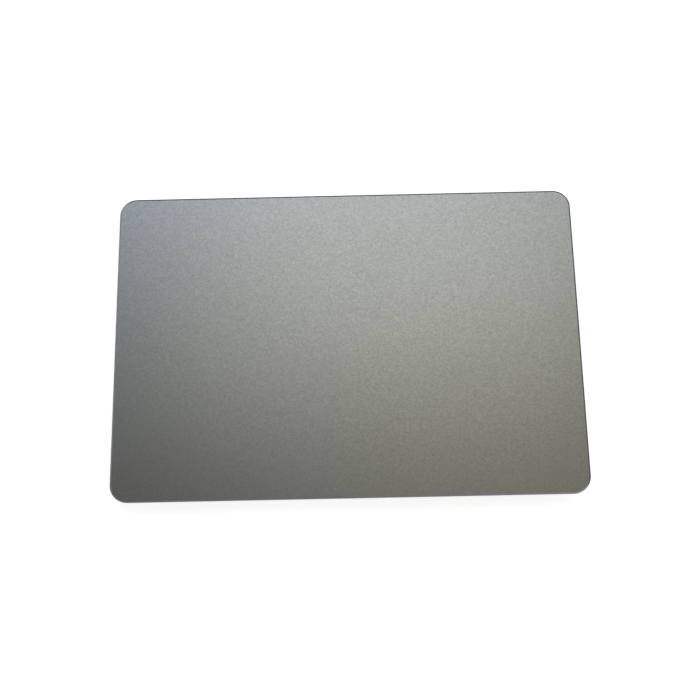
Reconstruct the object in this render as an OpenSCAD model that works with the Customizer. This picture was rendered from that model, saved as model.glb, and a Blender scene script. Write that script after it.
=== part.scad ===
// Laptop trackpad module: an etched cover glass on a touch board, carried at its four corners by
// gel pads on sprung force beams, with an electromagnet that nudges the glass to give a click.
// Millimetres. +X is to the right, +Y to the rear, +Z up out of the glass.
// The origin is at the middle of the outline, on the plane that the mounting posts stand on.

/* [Cover glass] */
// Width of the glass, side to side
glass_w = 120.6; // [116:0.2:130]
// Depth of the glass, front to rear
glass_d = 81.2; // [78:0.2:90]
// Thickness of the glass
glass_t = 1.0; // [0.7:0.05:1.4]
// Radius of the glass corners in plan
glass_corner_r = 4.5; // [3:0.1:6]
// Width of the ground bevel round the top edge
glass_bevel = 0.35; // [0.15:0.05:0.5]

/* [Layers under the glass] */
// Thickness of the bond between glass and board
glass_bond_t = 0.15; // [0.1:0.01:0.25]
// Set-back of that bond from the glass edge
glass_bond_inset = 0.5; // [0.3:0.1:0.8]
// Thickness of the touch board
board_t = 0.6; // [0.4:0.05:0.9]
// Set-back of the board from the glass edge
board_inset = 1.0; // [0.8:0.1:1.5]
// Thickness of the bond between board and stiffener
plate_bond_t = 0.1; // [0.08:0.01:0.2]
// Thickness of the stiffener plate
plate_t = 0.6; // [0.5:0.05:0.9]
// Set-back of the stiffener plate from the glass edge
plate_inset = 1.6; // [1.2:0.1:2.2]

/* [Carrier plate] */
// Thickness of the carrier plate
carrier_t = 0.7; // [0.6:0.05:1]
// Set-back of the carrier plate from the glass edge
carrier_inset = 3.0; // [2.6:0.1:3.4]
// Height of the stiffening lip that is turned down round the edge
lip_h = 0.6; // [0.3:0.05:0.8]
// Thickness of that lip
lip_t = 0.6; // [0.4:0.05:0.8]
// Width of the web between a beam window and its neighbour
web_w = 5.5; // [4.5:0.1:6.5]
// Corner radius of the windows
window_r = 1.2; // [0.6:0.1:2]

/* [Mounting posts] */
// Height of a post under the carrier plate
post_h = 1.1; // [1.05:0.05:1.6]
// Radius of a post
post_r = 2.0; // [1.7:0.05:2.3]
// Radius of the spigot that is pressed into the carrier plate
spigot_r = 1.4; // [1.2:0.05:1.5]
// Radius of the tapped hole, for an M2 screw
tap_r = 0.8; // [0.6:0.05:0.9]
// Distance of the post centres from the carrier edge
post_edge = 3.2; // [2.9:0.1:3.6]
// Distance of the inner posts from the middle
inner_post_x = 28; // [24:0.5:31]
// Thickness of a shim washer
washer_t = 0.15; // [0.1:0.05:0.3]
// Radius of the hole in a shim washer
washer_bore_r = 1.05; // [1:0.05:1.3]

/* [Force beams] */
// Thickness of a beam
beam_t = 0.35; // [0.25:0.05:0.5]
// Width of the free part of a beam
beam_w = 5.6; // [4.6:0.1:6.4]
// Width of the two end pads
pad_w = 9; // [8.6:0.1:10]
// Length of the root pad, which is riveted down
root_l = 9; // [8:0.1:10]
// Length of the tip pad, which carries the gel
tip_l = 8.5; // [7.5:0.1:9.5]
// Distance of the root pad from the middle line
root_y = 4; // [3.5:0.1:5]
// Distance of the beam's centre line from the carrier edge
beam_edge = 13.3; // [12.4:0.1:14]
// Distance of the tip from the carrier edge
tip_edge = 3.6; // [3.2:0.1:4.2]
// Gap between a beam and the window under it
beam_gap = 1.0; // [0.7:0.1:1.3]
// Thickness of a gel pad
gel_t = 0.45; // [0.4:0.05:0.7]
// Margin of a gel pad inside the tip
gel_margin = 0.6; // [0.3:0.1:1]
// Radius of a rivet
rivet_r = 0.8; // [0.6:0.05:0.9]
// Radius of a rivet's head
rivet_head_r = 1.35; // [1.1:0.05:1.4]
// Distance of the rivets from the beam's centre line
rivet_x = 3.1; // [3:0.05:3.2]
// Thickness of a strain gauge
gauge_t = 0.1; // [0.06:0.01:0.15]
// Length of a strain gauge along its beam
gauge_l = 7; // [5:0.5:8]
// Width of a strain gauge
gauge_w = 3.6; // [2.8:0.1:4.2]

/* [Travel] */
// How far the glass goes down under a finger
press_travel = 0.2; // [0.1:0.01:0.25]
// How far the glass shifts to the front or the rear in a click
shake_travel = 0.1; // [0.05:0.01:0.15]
// Radius of a press stop
stop_r = 1.4; // [1:0.1:1.8]
// How far the front and rear press stops stand from the middle line
stop_y = 22; // [18:0.5:26]

/* [Click actuator] */
// Place of the actuator's middle, in front of the middle line
actuator_y = -11; // [-12.5:0.25:-10]
// Number of poles, each with a coil
pole_count = 4; // [2:1:4]
// Distance from pole to pole
pole_pitch = 12.4; // [10.5:0.1:13]
// Width of a pole
pole_w = 7; // [5:0.1:7.5]
// Length of a pole
pole_l = 6.6; // [5.5:0.1:7.2]
// Depth of the yoke behind the poles
yoke_d = 2.8; // [2:0.1:3.2]
// Length of yoke outside the last pole
yoke_end = 1.9; // [1:0.1:2.5]
// Air gap from the poles to the armature
air_gap = 0.3; // [0.2:0.05:0.5]
// Depth of the armature bar
armature_d = 3.2; // [2.8:0.1:4]
// Wall of a bobbin
bobbin_wall = 0.15; // [0.1:0.05:0.25]
// Thickness of a bobbin's end flanges
bobbin_flange = 0.4; // [0.3:0.05:0.6]
// Thickness of the winding
winding_t = 0.45; // [0.3:0.05:0.5]
// Length of pole that stands out of its bobbin
pole_tip = 0.5; // [0.3:0.1:0.8]
// Depth of the tray below the carrier plate
tray_depth = 0.55; // [0.5:0.05:0.6]
// Thickness of the tray floor
tray_t = 0.35; // [0.25:0.05:0.4]
// Thickness of the tray walls
tray_wall = 0.8; // [0.6:0.05:1]
// Thickness of the insulating film under the tray
film_t = 0.1; // [0.05:0.01:0.15]
// Margin of the film inside the tray's edge
film_margin = 1; // [0.5:0.1:1.5]
// Margin of the tray's windows inside the coils
coil_window_margin = 0.4; // [0.2:0.1:0.8]
// Length of a tray ear
ear_l = 4; // [3.6:0.1:4.4]
// Width of a tray ear
ear_w = 6; // [5:0.1:7]
// Distance of the ears from the middle
ear_x = 18; // [14:0.5:20]

/* [Screws] */
// Radius of a screw's thread
screw_r = 0.7; // [0.6:0.05:0.8]
// Radius of a screw's head
screw_head_r = 1.35; // [1.2:0.05:1.4]
// Height of a screw's head
screw_head_h = 0.4; // [0.3:0.05:0.45]
// Distance of the armature's outer screws from the middle
armature_screw_x = 19; // [15:0.5:20]

/* [Electronics] */
// Distance of the chip windows from the middle
chip_window_x = 4; // [3:0.5:6]
// Place of the chip windows, behind the middle line
chip_window_y = 15.5; // [15:0.1:16]
// Depth of the chip windows
chip_window_d = 11.8; // [11.4:0.1:12]
// Side of the touch controller
controller_w = 9; // [7:0.5:9]
// Side of the microcontroller
micro_w = 7; // [5:0.5:7]
// Side of the coil driver
driver_w = 5; // [4:0.5:5]
// Side of the gauge amplifier
amplifier_w = 4; // [3:0.5:4]
// Distance of the coil socket from the actuator's end
coil_socket_reach = 7; // [6.5:0.1:7.5]
// Height of the chips
chip_h = 0.8; // [0.6:0.05:0.9]
// Side of the boost inductor
inductor_w = 4; // [3:0.5:4]
// Height of the boost inductor
inductor_h = 1.2; // [0.8:0.05:1.3]
// Distance between small parts in a row
capacitor_pitch = 1.5; // [1.3:0.1:2]
// Thickness of the flexible circuits
flex_t = 0.12; // [0.08:0.01:0.15]
// Width of the flexible circuits
flex_w = 2.6; // [2:0.1:2.7]

/* [Cable socket] */
// Number of contacts
contact_count = 24; // [16:1:26]
// Distance from contact to contact
contact_pitch = 0.5; // [0.4:0.05:0.5]
// Depth of the socket, front to rear
socket_d = 4.2; // [3.8:0.1:4.6]
// Height of the socket
socket_h = 1.3; // [1.25:0.05:1.5]
// Height of the slot for the flat cable
slot_h = 0.62; // [0.5:0.02:0.7]
// Depth of that slot
slot_l = 2.4; // [2:0.1:2.6]
// Radius of the latch pivots
pivot_r = 0.22; // [0.15:0.01:0.25]
// Half the thickness of the latch
latch_r = 0.4; // [0.35:0.01:0.42]
// Length of the latch in front of its pivot
latch_l = 1.2; // [1:0.05:1.5]
// Sheet between the chip windows and the socket's notch
notch_web = 3.2; // [2.5:0.1:4]
// Room on each side of the socket in its notch
notch_gap = 3.5; // [2.5:0.1:4.5]
// Room in front of the socket, where a fingernail lifts the latch
latch_room = 2.8; // [2.4:0.1:3.2]

/* [Clearances] */
// Gap round a pivot or a pressed piece
fit_gap = 0.04; // [0.02:0.01:0.06]
// Gap between pieces that move past each other
run_gap = 0.25; // [0.2:0.01:0.3]

/* [Hidden] */
$fn = 48;

CORNERS = [
    ["front_left", -1, -1],
    ["front_right", 1, -1],
    ["rear_left", -1, 1],
    ["rear_right", 1, 1]
];
SIDES = [["left", -1], ["right", 1]];
POLES = [for (i = [1 : pole_count]) i];

// Heights of the layers, from the posts' standing plane to the top of the glass
z_post = washer_t;
z_carrier = z_post + post_h;
z_beam = z_carrier + carrier_t;
z_gel = z_beam + beam_t;
z_plate = z_gel + gel_t;
z_plate_bond = z_plate + plate_t;
z_board = z_plate_bond + plate_bond_t;
z_glass_bond = z_board + board_t;
z_glass = z_glass_bond + glass_bond_t;

// Outlines
carrier_w = glass_w - 2 * carrier_inset;
carrier_d = glass_d - 2 * carrier_inset;
post_x = carrier_w / 2 - post_edge;
post_y = carrier_d / 2 - post_edge;
POSTS = [
    for (x = [-post_x, -inner_post_x, inner_post_x, post_x], y = [-post_y, post_y]) [x, y],
    [-post_x, 0],
    [post_x, 0]
];

// Force beams
beam_x = carrier_w / 2 - beam_edge;
root_end_y = root_y + root_l;
tip_end_y = carrier_d / 2 - tip_edge;
tip_y = tip_end_y - tip_l / 2;
beam_window_w = pad_w + 2 * beam_gap;
beam_window_start = root_end_y + beam_gap / 2;
beam_window_end = tip_end_y + beam_gap;
rivet_y = root_y + root_l / 2;
rivet_top_h = 0.15;
rivet_bottom_h = 0.35;

// Press stops stand in the webs beside the beam windows
stop_x = beam_x - beam_window_w / 2 - web_w / 2;
stop_spare = 0.02;
stop_h = beam_t + gel_t - press_travel - stop_spare;

// Click actuator, from the yoke at the front to the armature at the rear
yoke_l = (pole_count - 1) * pole_pitch + pole_w + 2 * yoke_end;
actuator_d = yoke_d + pole_l + air_gap + armature_d;
yoke_y = actuator_y - actuator_d / 2;
pole_y = yoke_y + yoke_d;
pole_end_y = pole_y + pole_l;
armature_y = pole_end_y + air_gap;
armature_end_y = armature_y + armature_d;
z_core = z_carrier - tray_depth;
coil_h = z_board - press_travel - run_gap - z_core;
coil_shell = bobbin_wall + winding_t;
pole_h = coil_h - 2 * coil_shell;
z_pole = z_core + coil_h / 2;
z_armature = z_core + press_travel + run_gap;
bobbin_l = pole_l - pole_tip;
core_gap = 1.0;
actuator_x = yoke_l / 2 + core_gap;
actuator_front_y = yoke_y - core_gap;
actuator_rear_y = armature_end_y + core_gap;
ear_t = 0.5;
ear_front_y = actuator_front_y - tray_wall - ear_l / 2;
ear_rear_y = actuator_rear_y + tray_wall + ear_l / 2;
EARS = [for (x = [-ear_x, ear_x], y = [ear_front_y, ear_rear_y]) [x, y]];
ARMATURE_SCREWS = [for (x = [-armature_screw_x, 0, armature_screw_x]) x];
armature_middle_y = armature_y + armature_d / 2;

// Electronics, seen through two windows behind the actuator
chip_window_end = beam_x - beam_window_w / 2 - web_w;
chip_front_y = chip_window_y - chip_window_d / 2;
chip_rear_y = chip_window_y + chip_window_d / 2;
tail_solder_l = 3;
tail_rise_l = 3;
tail_start = chip_window_end - 0.3;
tail_end = tail_start - tail_rise_l - tail_solder_l;
chip_gap = 1.0;
controller_x = -(tail_end - chip_gap - controller_w / 2);
amplifier_x = controller_x + controller_w / 2 + chip_gap + amplifier_w / 2;
amplifier_y = chip_front_y + chip_gap + amplifier_w / 2;
crystal_size = [3.2, 2.5, 0.7];
crystal_y = chip_rear_y - chip_gap - crystal_size[1] / 2;
micro_x = chip_window_x + chip_gap + micro_w / 2;
driver_x = micro_x + micro_w / 2 + chip_gap + driver_w / 2;
inductor_x = driver_x + driver_w / 2 + chip_gap + inductor_w / 2;
inductor_y = chip_rear_y - chip_gap - inductor_w / 2;
capacitor_size = [1.0, 0.5, 0.5];
capacitor_margin = 0.25;

// Flexible circuit of the gauges, under the carrier plate
branch_y = root_end_y - flex_w / 2 - run_gap;

// Socket and plug of the coil circuit, beside the actuator
coil_socket_size = [3.4, 4, 0.75];
coil_plug_size = [2.8, 3.4, 0.45];
coil_socket_x = actuator_x + coil_socket_reach;
coil_window_end = coil_socket_x + coil_socket_size[0] / 2 + core_gap;
coil_flex_y = yoke_y + yoke_d / 2;
z_coil_plug = z_board - coil_socket_size[2] - coil_plug_size[2];

// Cable socket, in a notch behind the chip windows
notch_y = chip_rear_y + notch_web;
socket_y = notch_y + latch_room;
slot_w = contact_count * contact_pitch + 1.6;
socket_ear_w = 1.0;
socket_w = slot_w + 2 * socket_ear_w + 1.4;
latch_zone = 1.55;
latch_axis_y = 0.9;
latch_axis_h = 0.82;
latch_w = socket_w - 2 * socket_ear_w - 2 * run_gap;
base_t = 0.28;
contact_w = 0.2;
contact_t = 0.15;
contact_tail = 0.6;
anchor_size = [0.8, 2, 0.5];
notch_w = socket_w + 2 * notch_gap;

// Sheet that is left between a window or a lip and what is next to it
rim = 2;

// How far a cutting shape runs past what it cuts
past = 1;

// Flat shapes

module rounded_rectangle(w, d, r) {
    square([w - 2 * r, d], center = true);
    square([w, d - 2 * r], center = true);
    for (x = [-1, 1], y = [-1, 1])
        translate([x * (w / 2 - r), y * (d / 2 - r)]) circle(r);
}

// A rounded window between two corners
module window(x0, y0, x1, y1, r = window_r) {
    translate([(x0 + x1) / 2, (y0 + y1) / 2]) rounded_rectangle(abs(x1 - x0), abs(y1 - y0), r);
}

// The two chip windows, the notch for the cable socket and the room for the actuator
module component_windows(grow, actuator_end_y) {
    for (s = [-1, 1])
        window(
            s * (chip_window_x - grow), chip_front_y - grow,
            s * (chip_window_end + grow), chip_rear_y + grow
        );
    translate([-notch_w / 2 - grow, notch_y - grow]) square([notch_w + 2 * grow, glass_d]);
    window(-actuator_x, actuator_front_y, coil_window_end, actuator_end_y);
}

module layer(inset, z, t) {
    translate([0, 0, z])
        linear_extrude(t)
            rounded_rectangle(glass_w - 2 * inset, glass_d - 2 * inset, glass_corner_r - inset / 2);
}

// A ribbon of the flexible circuits' thickness through points in a plane, each given by its under side
module ribbon(points, width) {
    under = points;
    over = [for (i = [len(points) - 1 : -1 : 0]) points[i] + [0, flex_t]];
    rotate([90, 0, 0]) linear_extrude(width, center = true) polygon(concat(under, over));
}

// A box that hangs under the board
module board_part(x, y, size) {
    translate([x - size[0] / 2, y - size[1] / 2, z_board - size[2]]) cube(size);
}

// Pad: the layers that the finger moves

module cover_glass() {
    w = glass_w;
    d = glass_d;
    r = glass_corner_r;
    b = glass_bevel;
    color("#8d908d") translate([0, 0, z_glass]) {
        linear_extrude(glass_t - b) rounded_rectangle(w, d, r);
        translate([0, 0, glass_t - b]) {
            rotate([90, 0, 90])
                linear_extrude(w - 2 * r, center = true)
                    polygon([[-d / 2, 0], [d / 2, 0], [d / 2 - b, b], [b - d / 2, b]]);
            rotate([90, 0, 0])
                linear_extrude(d - 2 * r, center = true)
                    polygon([[-w / 2, 0], [w / 2, 0], [w / 2 - b, b], [b - w / 2, b]]);
            for (x = [-1, 1], y = [-1, 1])
                translate([x * (w / 2 - r), y * (d / 2 - r), 0]) cylinder(h = b, r1 = r, r2 = r - b);
        }
    }
}

module glass_bond() {
    color("#141416") layer(glass_bond_inset, z_glass_bond, glass_bond_t);
}

module sensor_board() {
    color("#16211d") layer(board_inset, z_board, board_t);
}

module plate_outline() {
    difference() {
        rounded_rectangle(
            glass_w - 2 * plate_inset, glass_d - 2 * plate_inset, glass_corner_r - plate_inset / 2
        );
        component_windows(core_gap, pole_end_y);
    }
}

module plate_bond() {
    color("#2a2a2c")
        translate([0, 0, z_plate_bond])
            linear_extrude(plate_bond_t)
                difference() {
                    plate_outline();
                    for (x = ARMATURE_SCREWS) translate([x, armature_middle_y]) circle(screw_head_r);
                }
}

module stiffener_plate() {
    color("#b9bbbd")
        translate([0, 0, z_plate])
            linear_extrude(plate_t)
                difference() {
                    plate_outline();
                    for (x = ARMATURE_SCREWS) translate([x, armature_middle_y]) circle(screw_r + fit_gap);
                }
}

module touch_controller() {
    color("#1b1c1e") board_part(controller_x, chip_window_y, [controller_w, controller_w, chip_h]);
}

module microcontroller() {
    color("#202124") board_part(micro_x, chip_window_y, [micro_w, micro_w, chip_h]);
}

module coil_driver() {
    color("#1d1e20") board_part(driver_x, chip_window_y, [driver_w, driver_w, chip_h]);
}

module gauge_amplifier() {
    color("#222326") board_part(amplifier_x, amplifier_y, [amplifier_w, amplifier_w, chip_h]);
}

module boost_inductor() {
    color("#45464a") board_part(inductor_x, inductor_y, [inductor_w, inductor_w, inductor_h]);
}

module clock_crystal() {
    color("#c8c6bd") board_part(amplifier_x, crystal_y, crystal_size);
}

// Rows of small capacitors along the front and rear of a chip
module capacitor_rows(x, w) {
    count = floor((w + capacitor_pitch - capacitor_size[0]) / capacitor_pitch);
    y = capacitor_margin + capacitor_size[1] / 2;
    for (i = [0 : count - 1], row = [chip_front_y + y, chip_rear_y - y])
        board_part(x + (i - (count - 1) / 2) * capacitor_pitch, row, capacitor_size);
}

module board_capacitors() {
    color("#8a7a64") {
        capacitor_rows(controller_x, controller_w);
        capacitor_rows(micro_x, micro_w);
        capacitor_rows(driver_x, driver_w);
    }
}

// Places the socket's pieces: the board is at height 0 and the heights grow away from it
module under_board() {
    translate([0, socket_y, z_board]) mirror([0, 0, 1]) children();
}

module cable_socket() {
    color("#d9d4c6") under_board() difference() {
        union() {
            translate([-socket_w / 2, latch_zone, 0]) cube([socket_w, socket_d - latch_zone, socket_h]);
            translate([-socket_w / 2, 0, 0]) cube([socket_w, latch_zone, base_t]);
            for (x = [-socket_w / 2, socket_w / 2 - socket_ear_w])
                translate([x, latch_axis_y / 3, 0])
                    cube([socket_ear_w, latch_zone - latch_axis_y / 3, socket_h]);
        }
        translate([-slot_w / 2, socket_d - slot_l, -past]) cube([slot_w, slot_l + past, slot_h + past]);
        translate([0, latch_axis_y, latch_axis_h])
            rotate([0, 90, 0])
                cylinder(h = socket_w + 2 * past, r = pivot_r + fit_gap, center = true);
    }
}

module cable_contacts() {
    color("#c9a44a") under_board()
        for (i = [0 : contact_count - 1])
            translate([
                (i - (contact_count - 1) / 2) * contact_pitch - contact_w / 2,
                socket_d - slot_l + contact_t,
                0
            ])
                cube([contact_w, slot_l - contact_t + contact_tail, contact_t]);
}

module cable_anchors() {
    color("#b8bab8") under_board()
        for (s = [-1, 1])
            translate([
                s * (socket_w + anchor_size[0]) / 2,
                (latch_zone + socket_d) / 2,
                anchor_size[2] / 2
            ])
                cube(anchor_size, center = true);
}

module cable_latch() {
    color("#2b2c2e") under_board() translate([0, latch_axis_y, latch_axis_h]) {
        rotate([90, 0, 90]) linear_extrude(latch_w, center = true) {
            circle(latch_r);
            translate([-latch_l, -latch_r]) square([latch_l, 2 * latch_r]);
        }
        rotate([0, 90, 0]) cylinder(h = socket_w - run_gap, r = pivot_r, center = true);
    }
}

module coil_socket() {
    color("#d6d0c0") board_part(coil_socket_x, coil_flex_y, coil_socket_size);
}

module coil_plug() {
    color("#2e2f31")
        translate([
            coil_socket_x - coil_plug_size[0] / 2,
            coil_flex_y - coil_plug_size[1] / 2,
            z_coil_plug
        ])
            cube(coil_plug_size);
}

module armature_bar() {
    color("#8e8f92") difference() {
        translate([-yoke_l / 2, armature_y, z_armature]) cube([yoke_l, armature_d, z_plate - z_armature]);
        for (x = ARMATURE_SCREWS) translate([x, armature_middle_y, z_armature - past]) {
            cylinder(h = past + screw_head_h + fit_gap, r = screw_head_r + fit_gap);
            cylinder(h = past + z_plate, r = screw_r + fit_gap);
        }
    }
}

// A pan-head screw that points up, with a cross recess; its head's under side is at height 0
module screw(shank_l) {
    slot_w = screw_head_r / 4;
    difference() {
        union() {
            cylinder(h = screw_head_h, r = screw_head_r);
            cylinder(h = screw_head_h + shank_l, r = screw_r);
        }
        for (a = [0, 90]) rotate(a)
            translate([-screw_head_r * 0.6, -slot_w / 2, -past])
                cube([screw_head_r * 1.2, slot_w, past + screw_head_h * 0.6]);
    }
}

module armature_screws() {
    color("#c4c5c7") for (x = ARMATURE_SCREWS)
        translate([x, armature_middle_y, z_armature])
            screw(z_plate_bond - z_armature - screw_head_h);
}

// Force beams: steel strips riveted to the carrier plate, which bend under the gel pads

module flexure(sx, sy) {
    color("#a3a5a6")
        translate([sx * beam_x, 0, z_beam])
            linear_extrude(beam_t)
                difference() {
                    scale_y(sy) {
                        window(-pad_w / 2, root_y, pad_w / 2, root_end_y);
                        window(-beam_w / 2, root_y + window_r, beam_w / 2, tip_end_y - window_r);
                        window(-pad_w / 2, tip_end_y - tip_l, pad_w / 2, tip_end_y);
                    }
                    for (x = [-rivet_x, rivet_x]) translate([x, sy * rivet_y]) circle(rivet_r + fit_gap);
                }
}

// Turns a shape drawn for the rear to the front where side is -1
module scale_y(side) {
    mirror([0, side < 0 ? 1 : 0]) children();
}

module gel_pad(sx, sy) {
    color("#d8dade")
        translate([sx * beam_x, sy * tip_y, z_gel])
            linear_extrude(gel_t)
                rounded_rectangle(pad_w - 2 * gel_margin, tip_l - 2 * gel_margin, window_r);
}

module strain_gauge(sx, sy) {
    start = beam_window_start + flex_t;
    color("#c08a3a")
        translate([sx * beam_x - gauge_w / 2, sy > 0 ? start : -start - gauge_l, z_beam - gauge_t])
            cube([gauge_w, gauge_l, gauge_t]);
}

// Fixed frame: the carrier plate and what is fastened to it

module carrier_plate() {
    lip_end = 3 * post_r;
    lip_from = notch_w / 2 + rim;
    lip_to = carrier_w / 2 - lip_end;
    color("#9b9d9f") {
        translate([0, 0, z_carrier]) linear_extrude(carrier_t) difference() {
            rounded_rectangle(carrier_w, carrier_d, glass_corner_r - carrier_inset / 2);
            component_windows(0, actuator_rear_y);
            for (sx = [-1, 1], sy = [-1, 1])
                window(
                    sx * beam_x - beam_window_w / 2, sy * beam_window_start,
                    sx * beam_x + beam_window_w / 2, sy * beam_window_end
                );
            for (p = POSTS) translate(p) circle(spigot_r + fit_gap);
            for (p = EARS) translate(p) circle(screw_r + fit_gap);
            for (sx = [-1, 1], x = [-rivet_x, rivet_x], sy = [-1, 1])
                translate([sx * beam_x + x, sy * rivet_y]) circle(rivet_r + fit_gap);
            front_windows();
        }
        translate([0, 0, z_carrier - lip_h]) {
            for (sx = [-1, 1]) {
                translate([sx * (carrier_w - lip_t) / 2, 0, lip_h / 2])
                    cube([lip_t, carrier_d - 2 * lip_end, lip_h], center = true);
                translate([sx * (lip_from + lip_to) / 2, (carrier_d - lip_t) / 2, lip_h / 2])
                    cube([lip_to - lip_from, lip_t, lip_h], center = true);
            }
            translate([0, (lip_t - carrier_d) / 2, lip_h / 2])
                cube([carrier_w - 2 * lip_end, lip_t, lip_h], center = true);
        }
    }
}

// Lightening windows in front of the actuator
module front_windows() {
    front = -post_y;
    rear = ear_front_y - ear_l / 2 - rim;
    for (s = [-1, 1])
        window(s * chip_window_x, front, s * (inner_post_x - post_r - rim), rear);
}

module mount_posts() {
    color("#c3b27a") for (p = POSTS) translate([p[0], p[1], z_post]) difference() {
        union() {
            cylinder(h = post_h, r = post_r);
            cylinder(h = post_h + carrier_t, r = spigot_r);
        }
        translate([0, 0, -past]) cylinder(h = post_h + carrier_t + 2 * past, r = tap_r);
    }
}

module shim_washers() {
    color("#b4b6b8") for (p = POSTS) translate(p) difference() {
        cylinder(h = washer_t, r = post_r);
        translate([0, 0, -past]) cylinder(h = washer_t + 2 * past, r = washer_bore_r);
    }
}

module flexure_rivets() {
    color("#b0b2b4")
        for (sx = [-1, 1], x = [-rivet_x, rivet_x], sy = [-1, 1])
            translate([sx * beam_x + x, sy * rivet_y, z_carrier - rivet_bottom_h]) {
                cylinder(h = rivet_bottom_h, r = rivet_head_r);
                cylinder(h = rivet_bottom_h + carrier_t + beam_t + rivet_top_h, r = rivet_r);
                translate([0, 0, rivet_bottom_h + carrier_t + beam_t])
                    cylinder(h = rivet_top_h, r = rivet_head_r);
            }
}

module press_stops() {
    color("#2a2b2d")
        for (sx = [-1, 1], sy = [-1, 1])
            translate([sx * stop_x, sy * stop_y, z_beam]) cylinder(h = stop_h, r = stop_r);
}

// Windows in the tray under the coils, which let their heat out
module coil_windows(grow) {
    l = bobbin_l - 2 * bobbin_flange - 2 * coil_window_margin + 2 * grow;
    for (i = POLES)
        translate([pole_x(i), pole_y + bobbin_l / 2])
            square([pole_w - 2 * coil_window_margin + 2 * grow, l], center = true);
}

module actuator_tray() {
    w = 2 * actuator_x;
    d = actuator_rear_y - actuator_front_y;
    middle = (actuator_rear_y + actuator_front_y) / 2;
    color("#7d8083") difference() {
        union() {
            translate([0, middle, z_core - tray_t])
                linear_extrude(tray_depth + tray_t)
                    rounded_rectangle(w + 2 * tray_wall, d + 2 * tray_wall, window_r + tray_wall);
            for (s = [-1, 1])
                translate([s * ear_x, middle, z_carrier - ear_t])
                    linear_extrude(ear_t)
                        rounded_rectangle(ear_w, d + 2 * tray_wall + 2 * ear_l, window_r);
        }
        translate([0, middle, z_core])
            linear_extrude(tray_depth + past)
                rounded_rectangle(w, d, window_r);
        translate([0, 0, z_core - tray_t - past]) linear_extrude(tray_t + 2 * past) coil_windows(0);
        for (p = EARS)
            translate([p[0], p[1], z_core - tray_t])
                cylinder(h = tray_depth + tray_t + past, r = screw_r + fit_gap);
    }
}

module tray_screws() {
    color("#c4c5c7") for (p = EARS)
        translate([p[0], p[1], z_carrier - ear_t - screw_head_h]) screw(ear_t + carrier_t);
}

module tray_film() {
    w = 2 * (actuator_x + tray_wall - film_margin);
    d = actuator_rear_y - actuator_front_y + 2 * (tray_wall - film_margin);
    color("#1c1c1e")
        translate([0, 0, z_core - tray_t - film_t])
            linear_extrude(film_t)
                difference() {
                    translate([0, (actuator_rear_y + actuator_front_y) / 2])
                        rounded_rectangle(w, d, window_r);
                    coil_windows(fit_gap);
                }
}

function pole_x(i) = (i - (pole_count + 1) / 2) * pole_pitch;

module stator_core() {
    color("#5f6165") {
        translate([-yoke_l / 2, yoke_y, z_core]) cube([yoke_l, yoke_d, coil_h]);
        for (i = POLES)
            translate([pole_x(i) - pole_w / 2, yoke_y + yoke_d / 2, z_pole - pole_h / 2])
                cube([pole_w, pole_l + yoke_d / 2, pole_h]);
    }
}

// A rectangular sleeve round a pole, along the pole from its foot
module pole_sleeve(i, from, l, inner, outer) {
    translate([pole_x(i), pole_y + from, z_pole])
        rotate([-90, 0, 0])
            linear_extrude(l)
                difference() {
                    square([pole_w + 2 * outer, pole_h + 2 * outer], center = true);
                    square([pole_w + 2 * inner, pole_h + 2 * inner], center = true);
                }
}

module bobbin(i) {
    color("#26272a") {
        pole_sleeve(i, 0, bobbin_l, fit_gap, bobbin_wall);
        for (from = [0, bobbin_l - bobbin_flange])
            pole_sleeve(i, from, bobbin_flange, fit_gap, coil_shell);
    }
}

// A winding under its tape: one closed ring with the corners that the wire turns round
module coil(i) {
    color("#b5702f")
        translate([pole_x(i), pole_y + bobbin_flange, z_pole])
            rotate([-90, 0, 0])
                linear_extrude(bobbin_l - 2 * bobbin_flange)
                    difference() {
                        rounded_rectangle(pole_w + 2 * coil_shell, pole_h + 2 * coil_shell, winding_t);
                        square([pole_w + 2 * bobbin_wall, pole_h + 2 * bobbin_wall], center = true);
                    }
}

// Flexible circuit over the yoke, which takes the coils' leads to the plug
module coil_flex() {
    z_yoke = z_core + coil_h;
    z_plug = z_coil_plug + (coil_plug_size[2] - flex_t) / 2;
    plug_x = coil_socket_x - coil_plug_size[0] / 2;
    bend = 1.2;
    color("#b0762c")
        translate([0, coil_flex_y, 0])
            ribbon([
                [-yoke_l / 2 + yoke_end, z_yoke],
                [yoke_l / 2 + bend / 2, z_yoke],
                [plug_x - bend, z_plug],
                [plug_x, z_plug]
            ], flex_w);
}

// Flexible circuit of one side's two gauges: along the carrier plate, and up to the board
module gauge_flex(side) {
    z_under = z_carrier - flex_t;
    riser_h = carrier_t + flex_t;
    color("#b87f33") mirror([side < 0 ? 1 : 0, 0, 0]) {
        translate([beam_x - flex_w / 2, -beam_window_start, z_under])
            cube([flex_w, 2 * beam_window_start, flex_t]);
        for (s = [-1, 1])
            translate([beam_x - flex_w / 2, s * (beam_window_start + flex_t / 2) - flex_t / 2, z_under])
                cube([flex_w, flex_t, riser_h]);
        translate([0, branch_y, 0])
            ribbon([
                [tail_end, z_board - flex_t],
                [tail_end + tail_solder_l, z_board - flex_t],
                [tail_start, z_under],
                [beam_x, z_under]
            ], flex_w);
    }
}

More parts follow.
